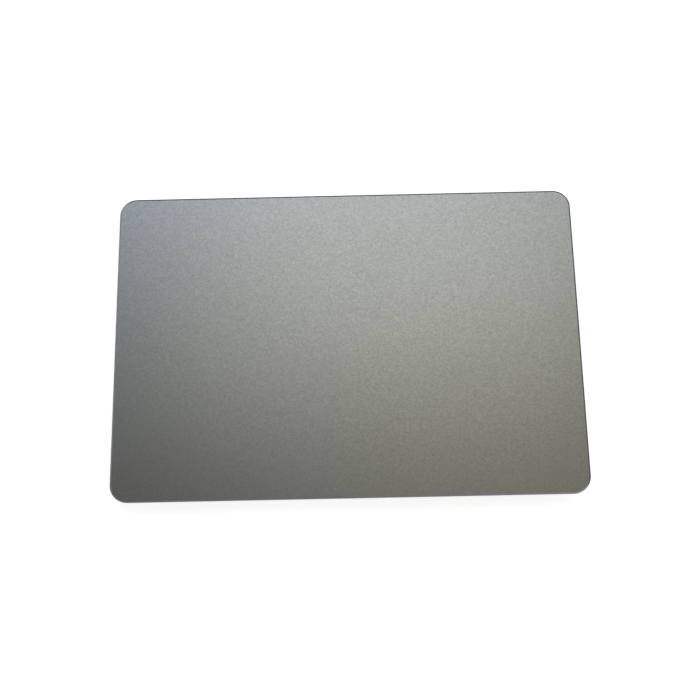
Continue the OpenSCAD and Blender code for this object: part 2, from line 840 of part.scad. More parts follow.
cover_glass();
glass_bond();
sensor_board();
plate_bond();
stiffener_plate();
touch_controller();
microcontroller();
coil_driver();
gauge_amplifier();
boost_inductor();
clock_crystal();
board_capacitors();
cable_socket();
cable_contacts();
cable_anchors();
cable_latch();
coil_socket();
coil_plug();
armature_bar();
armature_screws();
carrier_plate();
mount_posts();
shim_washers();
flexure_rivets();
press_stops();
actuator_tray();
tray_screws();
tray_film();
stator_core();
coil_flex();
for (c = CORNERS) {
    flexure(c[1], c[2]);
    gel_pad(c[1], c[2]);
    strain_gauge(c[1], c[2]);
}
for (s = SIDES) {
    gauge_flex(s[1]);
}
for (i = POLES) {
    bobbin(i);
    coil(i);
}
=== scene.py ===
"""Looks of a laptop trackpad module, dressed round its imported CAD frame.

An etched cover glass lies on a touch board. Four sprung force beams carry it above a stamped carrier plate,
and a click actuator in the middle nudges it. Sizes are in millimetres, and a finished mesh is in metres.
"""
import logging
import math
from dataclasses import dataclass
from enum import Enum, IntEnum
from typing import Callable, Iterable, Sequence

import bmesh
import bpy
from mathutils import Matrix, Quaternion, Vector


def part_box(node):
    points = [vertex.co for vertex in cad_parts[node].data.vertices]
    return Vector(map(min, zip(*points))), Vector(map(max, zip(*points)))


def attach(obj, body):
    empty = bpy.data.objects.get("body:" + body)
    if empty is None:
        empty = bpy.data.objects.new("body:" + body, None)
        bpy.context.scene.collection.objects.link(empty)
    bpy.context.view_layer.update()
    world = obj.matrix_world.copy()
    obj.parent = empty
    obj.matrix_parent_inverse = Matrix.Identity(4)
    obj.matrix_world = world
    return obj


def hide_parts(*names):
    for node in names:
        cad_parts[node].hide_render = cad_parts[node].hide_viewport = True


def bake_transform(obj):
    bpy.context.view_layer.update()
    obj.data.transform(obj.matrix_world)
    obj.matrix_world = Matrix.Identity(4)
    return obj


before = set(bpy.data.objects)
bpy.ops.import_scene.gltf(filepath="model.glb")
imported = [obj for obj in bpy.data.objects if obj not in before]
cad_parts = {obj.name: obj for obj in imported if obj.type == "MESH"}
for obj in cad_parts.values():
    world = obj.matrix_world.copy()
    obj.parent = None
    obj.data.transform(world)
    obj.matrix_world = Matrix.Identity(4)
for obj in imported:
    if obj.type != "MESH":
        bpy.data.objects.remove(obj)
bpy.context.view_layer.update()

MM = 0.001
LOG = logging.getLogger("trackpad")
# The beams by their corner, with their side in Y, and the two sides in X
CORNERS = (("front_left", -1), ("front_right", -1), ("rear_left", 1), ("rear_right", 1))
SIDES = (("left", -1), ("right", 1))
BOTH = (-1, 1)
# Nearer than this, two points are one, or two heights are level, in millimetres
SAME_PLACE = 1e-4
LEVEL = 1e-6
# Past this share of a whole normal, a face lies square to an axis
SQUARE_ON = 0.99
# Angles between faces: in one plane, at the rim of a beam, and sharp enough to be eased
FLAT_ANGLE = math.radians(1)
RIM_ANGLE = math.radians(60)
EASED_ANGLE = math.radians(50)
EASED_SMOOTH = 20.0
# Finer layers in a noise, half the range over which two colours cross, and one band of a wave at scale 1
FINE_DETAIL = 2.0
BROAD_DETAIL = 3.0
FADE = 0.4
WAVE_BAND = math.tau / 20


class Body(Enum):
    """The CAD bodies that pieces ride on."""

    MOUNT = "mount"
    BEAMS = "beams"
    PAD = "pad"
    LATCH = "latch"


class Axis(IntEnum):
    """The axes, by the number of their coordinate."""

    X = 0
    Y = 1
    Z = 2


@dataclass(frozen=True)
class Bend:
    """A piece that bends from one body to the next, between two points in millimetres."""

    first: Body
    second: Body
    start: tuple[float, float, float]
    end: tuple[float, float, float]


def linear(code: str) -> tuple[float, float, float, float]:
    """Turns an sRGB hex colour into linear light.

    Args:
        code: The colour, such as "#9a9b97".

    Returns:
        Red, green, blue and an alpha of 1.
    """
    shares = [int(code[i:i + 2], 16) / 255 for i in (1, 3, 5)]
    red, green, blue = [s / 12.92 if s <= 0.04045 else ((s + 0.055) / 1.055) ** 2.4 for s in shares]
    return red, green, blue, 1.0


def add_node(tree: bpy.types.NodeTree, kind: str, inputs: dict | None = None,
             **settings: object) -> bpy.types.Node:
    """Adds a node with its settings, values and links.

    Args:
        tree: The node tree.
        kind: The node's type name.
        inputs: A value, or a socket to link from, for each input by name or number.
        settings: The node's own properties.

    Returns:
        The new node.
    """
    node = tree.nodes.new(kind)
    for name, value in settings.items():
        setattr(node, name, value)
    for name, value in (inputs or {}).items():
        if isinstance(value, bpy.types.NodeSocket):
            tree.links.new(value, node.inputs[name])
        else:
            node.inputs[name].default_value = value
    return node


@dataclass(frozen=True)
class Finish:
    """A surface as it is made: its colours, its gloss, and the marks that the tool or the mould leaves.

    The grain's three sizes are its length along X, Y and Z, so a long one makes brushed lines. The mottle is
    the size of the broad patches, and the patch is their strength.
    """

    name: str
    colour: str
    shade: str
    metallic: float = 0.0
    roughness: float = 0.5
    spread: float = 0.08
    grain: tuple[float, float, float] = (0.2, 0.2, 0.2)
    mottle: float = 6.0
    patch: float = 1.0
    bump: float = 0.002
    sockets: tuple[tuple[str, float], ...] = ()

    def noise(self, tree: bpy.types.NodeTree, place: bpy.types.NodeSocket,
              sizes: Sequence[float], detail: float) -> bpy.types.NodeSocket:
        """Adds noise whose blots have the given sizes in millimetres.

        Args:
            tree: The material's tree.
            place: The coordinates, in metres.
            sizes: The size of a blot along X, Y and Z.
            detail: How many finer layers the noise has.

        Returns:
            The noise's value.
        """
        laid = add_node(tree, "ShaderNodeMapping",
                        {"Vector": place, "Scale": [1 / (size * MM) for size in sizes]})
        blots = add_node(tree, "ShaderNodeTexNoise",
                         {"Vector": laid.outputs[0], "Scale": 1.0, "Detail": detail})
        return blots.outputs[0]

    def pattern(self, tree: bpy.types.NodeTree, place: bpy.types.NodeSocket) -> bpy.types.NodeSocket:
        """Returns the fine pattern, from 0 to 1."""
        return self.noise(tree, place, self.grain, FINE_DETAIL)

    def material(self) -> bpy.types.Material:
        """Makes the node material, or finds it where it was made before.

        Returns:
            The material.
        """
        made = bpy.data.materials.get(self.name)
        if made:
            return made
        made = bpy.data.materials.new(self.name)
        made.use_nodes = True
        tree = made.node_tree
        shader = tree.nodes["Principled BSDF"]
        place = add_node(tree, "ShaderNodeTexCoord").outputs["Object"]
        fine = self.pattern(tree, place)
        broad = self.noise(tree, place, (self.mottle,) * 3, BROAD_DETAIL)
        both = add_node(tree, "ShaderNodeMath", {0: broad, 1: self.patch, 2: fine}, operation="MULTIPLY_ADD")
        middle = 0.5 + 0.5 * self.patch
        share = add_node(tree, "ShaderNodeMapRange",
                         {"Value": both.outputs[0], "From Min": middle - FADE, "From Max": middle + FADE})
        colour = add_node(tree, "ShaderNodeMix",
                          {0: share.outputs[0], 6: linear(self.colour), 7: linear(self.shade)},
                          data_type="RGBA")
        gloss = add_node(tree, "ShaderNodeMapRange",
                         {"Value": share.outputs[0], "To Min": self.roughness - self.spread,
                          "To Max": self.roughness + self.spread})
        relief = add_node(tree, "ShaderNodeBump",
                          {"Height": fine, "Distance": self.bump * MM, "Strength": 1.0})
        tree.links.new(colour.outputs[2], shader.inputs["Base Color"])
        tree.links.new(gloss.outputs[0], shader.inputs["Roughness"])
        tree.links.new(relief.outputs[0], shader.inputs["Normal"])
        shader.inputs["Metallic"].default_value = self.metallic
        for socket, value in self.sockets:
            shader.inputs[socket].default_value = value
        return made


@dataclass(frozen=True)
class EtchedGlass(Finish):
    """Acid-etched glass over metallic paint: satin, with a very fine sparkle from the paint's flakes."""

    flake: float = 0.28
    cloud_share: float = 0.6

    def pattern(self, tree: bpy.types.NodeTree, place: bpy.types.NodeSocket) -> bpy.types.NodeSocket:
        """Lays the paint's flakes, each with its own brightness, over a cloudy grain.

        Args:
            tree: The material's tree.
            place: The coordinates, in metres.

        Returns:
            The pattern, from 0 to 1.
        """
        laid = add_node(tree, "ShaderNodeMapping", {"Vector": place, "Scale": [1 / (self.flake * MM)] * 3})
        cells = add_node(tree, "ShaderNodeTexVoronoi", {"Vector": laid.outputs[0], "Scale": 1.0})
        flakes = add_node(tree, "ShaderNodeSeparateColor", {0: cells.outputs["Color"]})
        cloud = super().pattern(tree, place)
        return add_node(tree, "ShaderNodeMix",
                        {0: self.cloud_share, 2: flakes.outputs[0], 3: cloud}).outputs[0]


@dataclass(frozen=True)
class SolderMask(Finish):
    """Black solder mask over copper lines, which show through as a faint relief."""

    line: float = 0.5
    fields_per_mm: float = 0.35
    line_edge: tuple[float, float] = (0.45, 0.55)

    def pattern(self, tree: bpy.types.NodeTree, place: bpy.types.NodeSocket) -> bpy.types.NodeSocket:
        """Draws the copper lines: they run along X in some fields and along Y in others.

        Args:
            tree: The material's tree.
            place: The coordinates, in metres.

        Returns:
            The lines, from 0 to 1.
        """
        laid = add_node(tree, "ShaderNodeMapping", {"Vector": place, "Scale": [1 / MM] * 3})
        waves = [add_node(tree, "ShaderNodeTexWave",
                          {"Vector": laid.outputs[0], "Scale": WAVE_BAND / self.line},
                          bands_direction=way).outputs[1] for way in ("X", "Y")]
        fields = add_node(tree, "ShaderNodeTexVoronoi",
                          {"Vector": laid.outputs[0], "Scale": self.fields_per_mm})
        side = add_node(tree, "ShaderNodeSeparateColor", {0: fields.outputs["Color"]})
        pick = add_node(tree, "ShaderNodeMath", {0: side.outputs[0], 1: 0.5}, operation="GREATER_THAN")
        lines = add_node(tree, "ShaderNodeMix", {0: pick.outputs[0], 2: waves[0], 3: waves[1]})
        start, end = self.line_edge
        return add_node(tree, "ShaderNodeMapRange",
                        {"Value": lines.outputs[0], "From Min": start, "From Max": end}).outputs[0]


@dataclass(frozen=True)
class StackedSheets(Finish):
    """Stacked sheets or plies: dark lines at the joints, one sheet apart along Z."""

    sheet: float = 0.23
    waver: float = 0.2

    def pattern(self, tree: bpy.types.NodeTree, place: bpy.types.NodeSocket) -> bpy.types.NodeSocket:
        """Draws the sheets' edges as bands along Z.

        Args:
            tree: The material's tree.
            place: The coordinates, in metres.

        Returns:
            The bands, from 0 to 1.
        """
        laid = add_node(tree, "ShaderNodeMapping", {"Vector": place, "Scale": [1 / (self.sheet * MM)] * 3})
        return add_node(tree, "ShaderNodeTexWave",
                        {"Vector": laid.outputs[0], "Scale": WAVE_BAND, "Distortion": self.waver},
                        bands_direction="Z").outputs[1]


# Satin etched glass, metallic grey paint behind it: a soft wide highlight and a fine sparkle
ETCHED_GLASS = EtchedGlass("etched_glass_over_metallic_paint", "#aaaba3", "#8d8e87", metallic=0.95,
                           roughness=0.38, spread=0.03, grain=(0.5, 0.5, 0.5), mottle=45, patch=0.15,
                           bump=0.0004)
# Polished bevel of the glass: a narrow mirror that shows whatever stands beside it
POLISHED_BEVEL = Finish("polished_glass_bevel", "#8f8e92", "#83828a", metallic=0.8, roughness=0.2,
                        spread=0.04, grain=(0.3, 0.3, 0.3), bump=0.0002)
# Ground side wall of the glass: grey-green and matt
GROUND_WALL = Finish("ground_glass_wall", "#9aa09c", "#878d89", roughness=0.42, grain=(0.2, 0.2, 0.2),
                     bump=0.001, sockets=(("IOR", 1.52),))
# Screen-printed paint on the back of the glass
BACK_PAINT = Finish("screen_printed_back_paint", "#3d3f40", "#343637", roughness=0.6, bump=0.001)
# Black pressure-sensitive film: soft, slightly rubbery
BLACK_BOND = Finish("black_adhesive_film", "#161618", "#0f0f11", roughness=0.62, grain=(0.4, 0.4, 0.4))
# Glass-epoxy board under black solder mask
BOARD = SolderMask("black_solder_mask_board", "#121a18", "#1d2925", roughness=0.38, mottle=9, bump=0.012)
# Routed edge of that board: bare dark laminate, with its plies of glass cloth as fine lines
LAMINATE = StackedSheets("routed_glass_epoxy_edge", "#57533a", "#413e2c", roughness=0.6, mottle=3, bump=0.006,
                         sheet=0.15)
# Bead-blasted, clear anodised aluminium: an even fine sparkle. The grit is drawn coarser, to show
ANODISED = Finish("bead_blasted_aluminium", "#bcbec0", "#aaacae", metallic=1.0, roughness=0.42,
                  grain=(0.16, 0.16, 0.16), mottle=14, bump=0.003)
# Stamped stainless sheet: brushed lines along its length
BRUSHED_STEEL = Finish("brushed_stainless_sheet", "#a9abac", "#8f9193", metallic=1.0, roughness=0.34,
                       grain=(14, 0.14, 0.14), mottle=20, bump=0.0015)
# Rolled spring strip: faint lines along the beam and a warm temper tint
SPRING_STEEL = Finish("rolled_spring_steel", "#a8a49c", "#8c8984", metallic=1.0, roughness=0.26,
                      grain=(0.1, 9, 0.1), mottle=5, bump=0.001)
# Turned brass, with the tool's fine rings
BRASS = Finish("turned_brass", "#c2a866", "#a98f52", metallic=1.0, roughness=0.28, grain=(0.5, 0.5, 0.06),
               bump=0.002)
# Bright nickel plate on small steel pieces
NICKEL = Finish("bright_nickel_plate", "#c9c8c3", "#b3b2ae", metallic=1.0, roughness=0.22,
                grain=(0.15, 0.15, 0.15), mottle=2, bump=0.001)
# Dull nickel on drawn steel: cloudy, with drawing lines along the tray
DULL_NICKEL = Finish("dull_nickel_drawn_steel", "#8f9193", "#77797c", metallic=1.0, roughness=0.4,
                     grain=(5, 0.2, 0.2), mottle=8, bump=0.002)
# Stacked silicon steel under grey varnish
CORE_STEEL = StackedSheets("stacked_silicon_steel", "#5b5d61", "#3e4044", metallic=0.9, roughness=0.42,
                           mottle=4, bump=0.01)
# Moulded epoxy of a chip: near black, finely pitted
EPOXY = Finish("moulded_chip_epoxy", "#2a2b2e", "#212225", roughness=0.62, grain=(0.12, 0.12, 0.12),
               mottle=3, bump=0.006)
# Mirror-smooth mark that the mould's pin leaves in the epoxy
MOULD_MARK = Finish("smooth_mould_mark", "#2c2d30", "#27282b", roughness=0.2, bump=0.0005)
# Tinned copper: silvery, a little uneven
TIN = Finish("tinned_copper", "#c6c5bf", "#aeada6", metallic=1.0, roughness=0.3, grain=(0.25, 0.25, 0.25),
             mottle=1.5, bump=0.006)
# Ground ferrite: dark grey ceramic with a metallic glint
FERRITE = Finish("ground_ferrite", "#46474b", "#37383c", metallic=0.25, roughness=0.48, mottle=2, bump=0.004)
# Fired ceramic of a capacitor: tan and waxy
CERAMIC = Finish("fired_tan_ceramic", "#9a8263", "#86704f", roughness=0.4, grain=(0.15, 0.15, 0.15),
                 mottle=1.2, bump=0.002)
# White ceramic of the crystal's base
ALUMINA = Finish("white_alumina", "#cfcabb", "#bfb9a8", roughness=0.5, bump=0.002)
# Natural liquid-crystal polymer: ivory, with flow lines from the gate
POLYMER = Finish("ivory_liquid_crystal_polymer", "#d8d0bb", "#c8bea6", roughness=0.45, grain=(3, 0.3, 0.3),
                 mottle=2.5, bump=0.003)
# Dark moulded polymer of the latch and the plug
DARK_POLYMER = Finish("dark_moulded_polymer", "#2f3033", "#26272a", roughness=0.42, grain=(0.2, 0.2, 0.2),
                      mottle=2, bump=0.003)
# Gold plate over nickel
GOLD = Finish("gold_plate", "#e0b95c", "#cda343", metallic=1.0, roughness=0.22, grain=(0.15, 0.15, 0.15),
              mottle=1.5, bump=0.001)
# Black moulded silicone: matt, slightly dusty
SILICONE = Finish("black_moulded_silicone", "#212224", "#2a2b2d", roughness=0.72, mottle=1.5, bump=0.004)
# Clear soft silicone gel
GEL = Finish("clear_silicone_gel", "#e3e7ea", "#d3d9dd", roughness=0.16, spread=0.05, mottle=3, bump=0.004,
             sockets=(("Transmission Weight", 0.75), ("IOR", 1.41)))
# Black polyester film: smooth, with a soft sheen
POLYESTER = Finish("black_polyester_film", "#18181a", "#202022", roughness=0.34, grain=(1.5, 0.3, 0.3),
                   mottle=10, bump=0.002)
# Enamelled copper wire: warm and glossy
COPPER_WIRE = Finish("enamelled_copper_wire", "#c0713a", "#a35a2a", metallic=0.9, roughness=0.24,
                     grain=(0.6, 0.2, 0.6), mottle=1.2, bump=0.001, sockets=(("Coat Weight", 0.6),))
# Amber polyimide tape over the winding
TAPE = Finish("amber_polyimide_tape", "#c98a24", "#b6781c", roughness=0.22, mottle=2.5, bump=0.003,
              sockets=(("Transmission Weight", 0.3), ("IOR", 1.6)))
# Amber polyimide film of the flexible circuits
POLYIMIDE = Finish("amber_polyimide_film", "#9a5f20", "#8a5219", roughness=0.3, mottle=4, bump=0.002,
                   sockets=(("Coat Weight", 0.3),))
# Copper lines under that film
FILM_COPPER = Finish("copper_under_film", "#cf9448", "#bd8039", metallic=0.6, roughness=0.3, mottle=2,
                     bump=0.001, sockets=(("Coat Weight", 0.3),))
# Foil of the strain gauges: a dull copper-nickel
FOIL = Finish("copper_nickel_foil", "#b79d7e", "#a38a6c", metallic=1.0, roughness=0.34, mottle=1, bump=0.001)
# Matt cloth of the studio's cards
BLACK_CLOTH = Finish("black_flag_cloth", "#0c0c0d", "#121213", roughness=0.9, grain=(2, 2, 2))
GREY_CLOTH = Finish("grey_flag_cloth", "#66666c", "#707076", roughness=0.9, grain=(2, 2, 2))


def box_mm(node: str) -> tuple[Vector, Vector]:
    """Returns a CAD node's lowest and highest corners in millimetres."""
    low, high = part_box(node)
    return low / MM, high / MM


def dress(node: str, finish: Finish) -> None:
    """Gives a CAD node that stays in view its finish.

    Args:
        node: The node's name.
        finish: The finish.
    """
    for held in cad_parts[node].material_slots:
        held.material = finish.material()
    LOG.info("node %s: %s", node, finish.name)


def points_of(faces: Iterable) -> set:
    """Returns the points of some faces."""
    return {point for face in faces for point in face.verts}


def lines_of(faces: Iterable) -> set:
    """Returns the edges of some faces."""
    return {line for face in faces for line in face.edges}


def points_in(made: Iterable) -> list:
    """Returns the points among the parts that an operator made."""
    return [part for part in made if isinstance(part, bmesh.types.BMVert)]


def extent(line: bmesh.types.BMEdge, axis: Axis) -> float:
    """Returns how far an edge runs along an axis."""
    return abs(line.verts[0].co[axis] - line.verts[1].co[axis])


def row(count: int, pitch: float) -> list[float]:
    """Returns the places of a row of equal things, from the row's middle."""
    return [(i - (count - 1) / 2) * pitch for i in range(count)]


def smooth_share(place: float, start: float, end: float) -> float:
    """Returns how far a place is from start to end, from 0 to 1 along a smooth S."""
    share = min(max((place - start) / (end - start), 0), 1)
    return share * share * (3 - 2 * share)


class Shape:
    """One piece's mesh while it is made, in millimetres."""

    def __init__(self) -> None:
        """Starts an empty mesh."""
        self.bm = bmesh.new()

    def since(self, known: set) -> list:
        """Returns the faces that were added after the known ones."""
        return [face for face in self.bm.faces if face not in known]

    def paint(self, known: set, material: int) -> list:
        """Gives the faces made since then their material.

        Args:
            known: The faces that were there before.
            material: The number of the material.

        Returns:
            The new faces.
        """
        made = self.since(known)
        for face in made:
            face.material_index = material
        return made

    def bevel(self, edges: Iterable, width: float, segments: int = 2, clamp: bool = True) -> None:
        """Rounds edges.

        Args:
            edges: The edges.
            width: How far the rounding reaches from each edge.
            segments: How many faces it has.
            clamp: Whether short edges narrow the rounding.
        """
        bmesh.ops.bevel(self.bm, geom=list(edges), offset=width, offset_type="OFFSET", segments=segments,
                        profile=0.5, affect="EDGES", clamp_overlap=clamp, material=-1)

    def join_flat(self) -> None:
        """Joins the faces that lie in one plane."""
        bmesh.ops.dissolve_limit(self.bm, angle_limit=FLAT_ANGLE, verts=self.bm.verts, edges=self.bm.edges)

    def cut(self, at: float, axis: Axis) -> None:
        """Cuts new edges where a plane crosses the mesh.

        Args:
            at: The plane's place along the axis.
            axis: The axis that the plane is square to.
        """
        square = Vector([float(one == axis) for one in Axis])
        bmesh.ops.bisect_plane(self.bm, geom=[*self.bm.verts, *self.bm.edges, *self.bm.faces],
                               plane_co=square * at, plane_no=square)

    def block(self, low: Sequence[float], high: Sequence[float], material: int = 0, edge: float = 0.0,
              segments: int = 2) -> list:
        """Adds a block with eased edges.

        Args:
            low: Its lowest corner.
            high: Its highest corner.
            material: The number of its material.
            edge: Radius of the edges.
            segments: Faces in that radius.

        Returns:
            Its faces.
        """
        known = set(self.bm.faces)
        low, high = Vector(low), Vector(high)
        place = Matrix.LocRotScale((low + high) / 2, None, high - low)
        corners = bmesh.ops.create_cube(self.bm, size=1.0, matrix=place)["verts"]
        if edge:
            self.bevel({line for corner in corners for line in corner.link_edges}, edge, segments)
        return self.paint(known, material)

    def plate(self, low: Sequence[float], high: Sequence[float], corner: float, steps: int,
              material: int = 0, edge: float = 0.0) -> list:
        """Adds a plate with round corners in plan.

        Args:
            low: Its lowest corner.
            high: Its highest corner.
            corner: Radius of the corners in plan.
            steps: Faces in each corner.
            material: The number of its material.
            edge: Radius of the edges along its two faces.

        Returns:
            Its faces.
        """
        known = set(self.bm.faces)
        made = self.block(low, high)
        self.bevel([line for line in lines_of(made) if extent(line, Axis.Z) > LEVEL], corner, steps)
        if edge:
            made = self.since(known)
            self.bevel([line for line in lines_of(made) if extent(line, Axis.Z) < LEVEL], edge)
        return self.paint(known, material)

    def rod(self, place: Matrix, radius: float, length: float, sides: int) -> None:
        """Adds a plain round rod.

        Args:
            place: Where it lies. Unturned, it stands upright on its middle.
            radius: Its radius.
            length: Its length.
            sides: Faces round it.
        """
        bmesh.ops.create_cone(self.bm, cap_ends=True, segments=sides, radius1=radius, radius2=radius,
                              depth=length, matrix=place)

    def turned(self, x: float, y: float, profile: Sequence[tuple[float, float]], steps: int = 32,
               material: int = 0) -> None:
        """Adds a shape turned on a lathe about an upright axis.

        Args:
            x: Place of the axis.
            y: Place of the axis.
            profile: Radius and height of each point of the section, in order.
            steps: Faces in a full turn.
            material: The number of its material.
        """
        known = set(self.bm.faces)
        points = [self.bm.verts.new((x + radius, y, height)) for radius, height in profile]
        lines = [self.bm.edges.new(pair) for pair in zip(points, points[1:])]
        bmesh.ops.spin(self.bm, geom=points + lines, cent=(x, y, 0), axis=(0, 0, 1), angle=math.tau,
                       steps=steps, use_merge=True)
        self.close(known, material)

    def close(self, known: set, material: int = 0) -> list:
        """Joins doubled points of the faces made since then, turns the faces outwards and paints them.

        Args:
            known: The faces that were there before.
            material: The number of their material.

        Returns:
            The faces.
        """
        bmesh.ops.remove_doubles(self.bm, verts=list(points_of(self.since(known))), dist=SAME_PLACE)
        bmesh.ops.recalc_face_normals(self.bm, faces=self.since(known))
        return self.paint(known, material)

    def cells(self, columns: Sequence[float], rows: Sequence[float], z: float,
              kept: Callable[[int, int], bool] = lambda column, line: True) -> list:
        """Adds a flat sheet of cells between the given lines.

        Args:
            columns: The lines' places in X, in order.
            rows: The lines' places in Y, in order.
            z: Height of the sheet.
            kept: Says whether a cell stays, by its column and its row.

        Returns:
            Its faces.
        """
        known = set(self.bm.faces)
        across, along = len(columns) - 1, len(rows) - 1
        grid = bmesh.ops.create_grid(self.bm, x_segments=across, y_segments=along, size=0.5)["verts"]
        spare = []
        for face in self.since(known):
            middle = face.calc_center_median()
            if not kept(int((middle.x + 0.5) * across), int((middle.y + 0.5) * along)):
                spare.append(face)
        for point in grid:
            column, line = round((point.co.x + 0.5) * across), round((point.co.y + 0.5) * along)
            point.co = (columns[column], rows[line], z)
        bmesh.ops.delete(self.bm, geom=spare, context="FACES")
        return self.since(known)

    def thicken(self, known: set, height: float, material: int = 0) -> None:
        """Makes the open sheet added since then a closed plate.

        Args:
            known: The faces that were there before.
            height: How far its second face lies above the first.
            material: The number of its material.
        """
        made = bmesh.ops.extrude_face_region(self.bm, geom=self.since(known))["geom"]
        bmesh.ops.translate(self.bm, vec=(0, 0, height), verts=points_in(made))
        self.close(known, material)

    def push(self, faces: Sequence, step: Sequence[float]) -> list:
        """Pushes faces in or out, with new walls round them.

        Args:
            faces: The faces.
            step: How far they go.

        Returns:
            What was made: faces, edges and points.
        """
        made = bmesh.ops.extrude_face_region(self.bm, geom=list(faces))["geom"]
        bmesh.ops.delete(self.bm, geom=[face for face in faces if face.is_valid], context="FACES")
        bmesh.ops.translate(self.bm, vec=step, verts=points_in(made))
        return made

    def wire_turn(self, centre: Vector, half_x: float, half_z: float, corner: float, wire: float,
                  steps: int = 4, sides: int = 8) -> None:
        """Adds one turn of wire round a pole that runs along Y.

        Args:
            centre: Middle of the turn.
            half_x: Half the turn's width, to the middle of the wire.
            half_z: Half the turn's height, to the middle of the wire.
            corner: Radius of the corners, to the middle of the wire.
            wire: Radius of the wire.
            steps: Sections in each of the four corners.
            sides: Faces round the wire.
        """
        known = set(self.bm.faces)
        first = Matrix.Rotation(math.pi / (4 * steps), 4, "Y") @ Matrix.Translation((corner, 0, 0))
        ring = bmesh.ops.create_circle(self.bm, segments=sides, radius=wire,
                                       matrix=Matrix.Translation(centre) @ first)["verts"]
        lines = list({line for point in ring for line in point.link_edges})
        bmesh.ops.spin(self.bm, geom=list(ring) + lines, cent=centre, axis=(0, 1, 0), angle=math.tau,
                       steps=4 * steps, use_merge=True)
        for point in points_of(self.close(known)):
            point.co.x += math.copysign(half_x - corner, point.co.x - centre.x)
            point.co.z += math.copysign(half_z - corner, point.co.z - centre.z)

    def ribbon(self, steps: int, lines: int, thick: float, rise: float,
               to_place: Callable[[float, float], Sequence[float]], copper: int = 1) -> None:
        """Adds a flexible circuit that is seen from below, with raised copper lines along it.

        Args:
            steps: Sections along the ribbon.
            lines: How many copper lines it has.
            thick: Thickness of the film.
            rise: How far the lines stand out.
            to_place: Gives the point of the under side for shares along and across the ribbon.
            copper: The number of the lines' material.
        """
        known = set(self.bm.faces)
        rows = 2 * lines + 1
        sheet = self.cells([i / steps for i in range(steps + 1)], [i / rows for i in range(rows + 1)], 0)
        raised = [face for face in sheet if int(face.calc_center_median().y * rows) % 2 == 1]
        for point in points_of(sheet):
            point.co = to_place(point.co.x, point.co.y)
        self.thicken(known, thick)
        for part in self.push(raised, (0, 0, -rise)):
            if isinstance(part, bmesh.types.BMFace):
                part.material_index = copper

    def cross_screw(self, x: float, y: float, low: float, radius: float, height: float) -> None:
        """Adds a pan head that faces down, with a cross recess.

        Args:
            x: Place of the screw.
            y: Place of the screw.
            low: Height of the head's outer face.
            radius: Radius of the head.
            height: Height of the head.
        """
        flat, arm, arm_half = radius * 0.78, radius * 0.58, radius * 0.125
        recess_depth, recess_taper = height * 0.6, 0.82
        rounding = ((0.92, 0.12), (1.0, 0.4), (1.0, 1.0))
        known = set(self.bm.faces)
        lines = [-flat, -arm, -arm_half, arm_half, arm, flat]
        sheet = self.cells(lines, lines, low)
        rim = [point for point in points_of(sheet) if max(abs(c) for c in point.co.xy) > flat - LEVEL]
        for point in rim:
            point.co = Vector((point.co.x, point.co.y, 0)).normalized() * flat + Vector((0, 0, low))
        cross = []
        for face in sheet:
            near, far = sorted(abs(c) for c in face.calc_center_median().xy)
            if near < LEVEL and far < arm:
                cross.append(face)
        recess = points_in(self.push(cross, (0, 0, recess_depth)))
        bmesh.ops.scale(self.bm, vec=(recess_taper, recess_taper, 1), verts=recess)
        edge = [line for line in lines_of(face for face in sheet if face.is_valid)
                if all(point in rim for point in line.verts)]
        for wide, deep in rounding:
            level = low + height * deep
            grown = bmesh.ops.extrude_edge_only(self.bm, edges=edge)["geom"]
            for point in points_in(grown):
                point.co = Vector((point.co.x, point.co.y, 0)).normalized() * (radius * wide)
                point.co.z = level
            edge = [part for part in grown if isinstance(part, bmesh.types.BMEdge)
                    and all(abs(point.co.z - level) < LEVEL for point in part.verts)]
        bmesh.ops.edgeloop_fill(self.bm, edges=edge)
        made = self.close(known)
        bmesh.ops.translate(self.bm, vec=(x, y, 0), verts=list(points_of(made)))

    def place(self, name: str, finishes: Sequence[Finish], slot: str, carrier: Body | Bend,
              replaced: Sequence[str] = (), smooth: float = 35.0) -> bpy.types.Object:
        """Turns the shape into a piece in the scene, tied to its body of the frame; a bending piece is left
        untied.

        Args:
            name: The piece's name.
            finishes: Its finishes, in the order of the material numbers.
            slot: Not used.
            carrier: The body that it rides on, or a bend between two, which leaves the piece untied to
                either.
            replaced: The CAD nodes that it stands for.
            smooth: Largest angle, in degrees, over which its shading is smooth.

        Returns:
            The object.
        """
        bmesh.ops.scale(self.bm, vec=(MM, MM, MM), verts=self.bm.verts)
        mesh = bpy.data.meshes.new(name)
        self.bm.to_mesh(mesh)
        self.bm.free()
        for finish in finishes:
            mesh.materials.append(finish.material())
        mesh.shade_smooth()
        mesh.set_sharp_from_angle(angle=math.radians(smooth))
        piece = bpy.data.objects.new(name, mesh)
        bpy.context.scene.collection.objects.link(piece)
        if isinstance(carrier, Bend):
            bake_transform(piece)
        else:
            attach(piece, carrier.value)
        if replaced:
            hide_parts(*replaced)
        LOG.info("piece %s: %d faces", name, len(mesh.polygons))
        return piece


def ease(node: str, word: str, finish: Finish, slot: str, carrier: Body, edge: float) -> None:
    """Stands a copy of a CAD node in its place, its sharp edges eased as the press or the mould leaves them.

    Args:
        node: The node's name.
        word: How it was made, for the piece's name.
        finish: Its finish.
        slot: The record's material slot for it.
        carrier: The body that it rides on.
        edge: How far the easing reaches from each edge.
    """
    shape = Shape()
    shape.bm.from_mesh(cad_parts[node].data)
    bmesh.ops.scale(shape.bm, vec=(1 / MM, 1 / MM, 1 / MM), verts=shape.bm.verts)
    bmesh.ops.remove_doubles(shape.bm, verts=shape.bm.verts, dist=SAME_PLACE)
    shape.join_flat()
    sharp = [line for line in shape.bm.edges if line.calc_face_angle(0.0) > EASED_ANGLE]
    shape.bevel(sharp, edge, clamp=False)
    shape.place(node + "_" + word, (finish,), slot, carrier, [node], smooth=EASED_SMOOTH)


